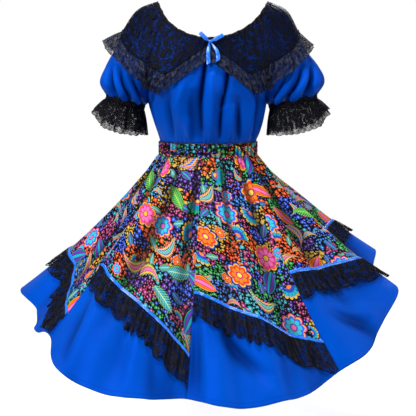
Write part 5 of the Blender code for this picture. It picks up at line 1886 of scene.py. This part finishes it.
@dataclass
class Bow:
    """The little satin bow at the front of the neck: a knot, two loops and two tails."""

    finish: Finish
    width: float = 0.0095
    height: float = -0.1065
    stand_off: float = 0.0112
    knot: tuple[float, float, float] = (0.0085, 0.0060, 0.0080)

    def centre(self) -> np.ndarray:
        """The middle of the knot."""
        point = laid(Side.LEFT, np.array(0.0), np.array(0.06), np.array(self.stand_off))
        return np.array([point[0] + 0.001, point[1], self.height])

    def ribbon(
        self, name: str, path: np.ndarray, across: np.ndarray, length: float, pinch: np.ndarray, slant: float = 0.0
    ) -> None:
        """Builds a length of ribbon along a path.

        Args:
            name: The piece's name.
            path: The points that its middle follows.
            across: The direction of its width.
            length: How long it was cut.
            pinch: The share of its width at each point of the path.
            slant: How far its end is cut aslant.
        """
        tangent = np.gradient(path, axis=0)
        across = across / np.linalg.norm(across)
        out = np.cross(tangent, across)
        out /= np.linalg.norm(out, axis=-1, keepdims=True)
        place = np.linspace(-1.0, 1.0, 9)
        points = path[:, None] + across * (place[None, :] * self.width / 2 * pinch[:, None])[..., None]
        cup = -0.0008 * (place[None, :] ** 2) * (2.0 - pinch[:, None])
        points = points + out[:, None] * cup[..., None]
        near_end = eased(np.linspace(-5.0, 1.0, len(path)))[:, None] * place[None, :] * slant
        points = points + (tangent / np.linalg.norm(tangent, axis=-1, keepdims=True))[:, None] * near_end[..., None]
        Cloth(
            name=name,
            points=points,
            finish=self.finish,
            flat=(0.0100, length),
            share=0.90,
            held=Held.FOLDED,
            outward=np.broadcast_to(out[:, None], points.shape),
            wall=0.0006,
            rests_on=("bow_knot",),
        ).build()

    def build(self) -> None:
        """Builds the bow."""
        centre = self.centre()
        for name, side, tip in (
            ("left", 1.0, np.array([0.029, -0.003, 0.0150])),
            ("right", -1.0, np.array([-0.022, -0.003, 0.0205])),
        ):
            root = centre + np.array([side * (self.knot[0] / 2 - 0.0004), 0.0, 0.0010])
            turn = math.pi / 2 * (1 - 2 * np.linspace(0.0, 1.0, 60))
            reach = np.cos(turn)
            spread = np.sin(turn) * (0.0012 + 0.0032 * np.sin(math.pi * reach))
            path = root + tip * reach[:, None] + np.stack([0 * spread, spread, 0 * spread], axis=-1)
            pinch = 0.35 + 0.65 * eased(reach * 3.0)
            self.ribbon(f"bow_loop_{name}", path, np.array([tip[2], 0.0, -tip[0]]), 0.070, pinch)
        share = np.linspace(0.0, 1.0, 50)
        for name, start, end, bend in (
            ("right", (-0.0024, 0.0, -0.0030), (-0.0042, -0.0200, -0.0560), -0.0015),
            ("left", (0.0024, 0.0, -0.0030), (0.0190, -0.0190, -0.0490), 0.0070),
        ):
            line = np.array(start) + (np.array(end) - np.array(start)) * share[:, None]
            curve = np.array([bend, -0.0035, 0.0]) * np.sin(math.pi * share)[:, None]
            flutter = np.array([0.0, 0.0012, 0.0]) * np.sin(share * 9 + bend * 100)[:, None]
            pinch = 0.35 + 0.65 * eased(share * 3.0)
            path = centre + line + curve + flutter
            self.ribbon(f"bow_tail_{name}", path, np.array([1.0, 0.0, 0.0]), 0.058, pinch, -0.003)
        deselect()
        bpy.ops.mesh.primitive_uv_sphere_add(segments=32, ring_count=20, radius=0.5, location=(0.0, 0.0, 0.0))
        item = bpy.context.object
        item.name = item.data.name = "bow_knot_ribbon"
        points = np.empty(len(item.data.vertices) * 3, np.float32)
        item.data.vertices.foreach_get("co", points)
        points = points.reshape(-1, 3).astype(float)
        radius = np.linalg.norm(points, axis=-1, keepdims=True)
        flatness = np.max(np.abs(points), axis=-1, keepdims=True) / np.maximum(radius, 1e-9)
        points = points / np.maximum(flatness, 1e-9) ** 0.55
        pleats = 1.0 + 0.05 * np.cos(points[:, :1] * 26)
        points = points * np.array([0.95, 1.0, 1.0]) * pleats * np.array(self.knot) + centre
        item.data.vertices.foreach_set("co", points.reshape(-1))
        item.data.update()
        item.data.uv_layers.active.name = "cloth"
        item.data.shade_smooth()
        self.finish.dress(item)
        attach(item, "root")
        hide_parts("bow_knot")
        log.info("bow_knot: %d faces", len(item.data.polygons))


@dataclass
class Studio:
    """The pale floor, the soft light and the camera."""

    floor_z: float = -1.35
    lens: float = 63.2367
    eye: tuple[float, float, float] = (0.0, -2.0, -0.2187)
    pitch: float = 80.5721  # degrees, from straight down
    ambient: float = 0.16

    def floor(self) -> None:
        """Lays a large matt white floor that fades into the white studio around it."""
        deselect()
        bpy.ops.mesh.primitive_plane_add(size=6.0, location=(0.0, 0.0, self.floor_z))
        plane = bpy.context.object
        plane.name = "floor"
        made = bpy.data.materials.new("matt white paper floor")
        made.use_nodes = True
        tree = made.node_tree
        tree.nodes.clear()
        place = add_node(tree, "TexCoord")["Object"]
        reach = add_node(tree, "VectorMath", {0: place}, operation="LENGTH")["Value"]
        fade = add_node(tree, "MapRange", {0: reach, 1: 0.7, 2: 2.6, 3: 1.0, 4: 0.0})[0]
        paper = {"Base Color": srgb("F0F0F0"), "Alpha": fade, "Roughness": 0.9, "Specular IOR Level": 0.1}
        add_node(tree, "OutputMaterial", {0: add_node(tree, "BsdfPrincipled", paper)[0]})
        plane.data.materials.append(made)

    def light(self, name: str, place: tuple[float, float, float], size: float, power: float) -> None:
        """Adds a soft square light that faces the dress.

        Args:
            name: The light's name.
            place: Where it stands.
            size: The length of its side, in metres.
            power: In watts.
        """
        data = bpy.data.lights.new(name, "AREA")
        data.shape, data.size, data.energy = "SQUARE", size, power
        item = bpy.data.objects.new(name, data)
        item.location = place
        item.rotation_euler = (Vector((0.0, 0.0, -0.5)) - Vector(place)).to_track_quat("-Z", "Y").to_euler()
        bpy.context.collection.objects.link(item)

    def world(self) -> None:
        """Makes a plain white world that gives only a soft part of the light."""
        world = bpy.data.worlds.new("white studio")
        bpy.context.scene.world = world
        world.use_nodes = True
        tree = world.node_tree
        tree.nodes.clear()
        seen = add_node(tree, "LightPath")["Is Camera Ray"]
        soft = add_node(tree, "Background", {0: srgb("FFFFFF"), 1: self.ambient})[0]
        white = add_node(tree, "Background", {0: srgb("FFFFFF"), 1: 1.0})[0]
        add_node(tree, "OutputWorld", {0: add_node(tree, "MixShader", {0: seen, 1: soft, 2: white})[0]})

    def camera(self) -> None:
        """Sets the camera at the photograph's angle."""
        data = bpy.data.cameras.new("camera")
        data.lens, data.sensor_width = self.lens, 36.0
        item = bpy.data.objects.new("camera", data)
        item.location = self.eye
        item.rotation_euler = (math.radians(self.pitch), 0.0, 0.0)
        bpy.context.collection.objects.link(item)
        bpy.context.scene.camera = item

    def build(self) -> None:
        """Builds the floor, the lights and the camera."""
        self.floor()
        self.world()
        self.light("top", (-0.4, -0.9, 2.6), 0.8, 80.0)
        self.light("key", (-1.5, -2.0, 0.8), 0.5, 62.0)
        self.light("fill", (2.3, -1.1, 0.4), 1.0, 24.0)
        self.light("back", (0.6, 2.2, 1.5), 1.2, 120.0)
        self.camera()
        bpy.context.scene.view_settings.view_transform = "Standard"


def main() -> None:
    """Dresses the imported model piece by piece."""
    logging.basicConfig(level=logging.INFO, format="%(message)s")
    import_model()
    blue, lace, satin, printed = Broadcloth(), Lace(), Satin(), PrintedCotton()
    # the cord colours and sheen below are painted highlight on the black threads, lightest on the collar's ruffle
    edging = Lace(
        title="black nylon edging lace, corded outlines",
        flower=0.017,
        leaf=0.0075,
        drift=0.012,
        cord="44485C",
        fill=0.46,
        ground=0.11,
        outline=0.09,
        painted_sheen=0.8,
    )
    bunched = Lace(
        title="black nylon lace, bunched along its seam",
        cord="2C2C38",
        flower=0.019,
        leaf=0.0062,
        spray=0.33,
        fill=0.96,
        ground=0.050,
        outline=0.10,
        painted_sheen=0.3,
    )
    flared = Lace(
        title="black nylon ruffle lace, sheer towards its edge",
        mesh=0.0018,
        cord="24242E",
        flower=0.017,
        leaf=0.0070,
        fill=0.82,
        ground=0.17,
        sheer=0.022,
    )
    casing = Lace(title="black lace casing, gathered close on elastic", ground=0.42, fill=0.95)
    Studio().build()
    Blouse(blue).build()
    Neckline(lace, edging, casing).build()
    Bow(satin).build()
    Cuffs(flared, casing).build()
    Waist(printed, Piping()).build()
    Skirt(printed, blue, bunched, satin).build()


if __name__ == "__main__":
    main()
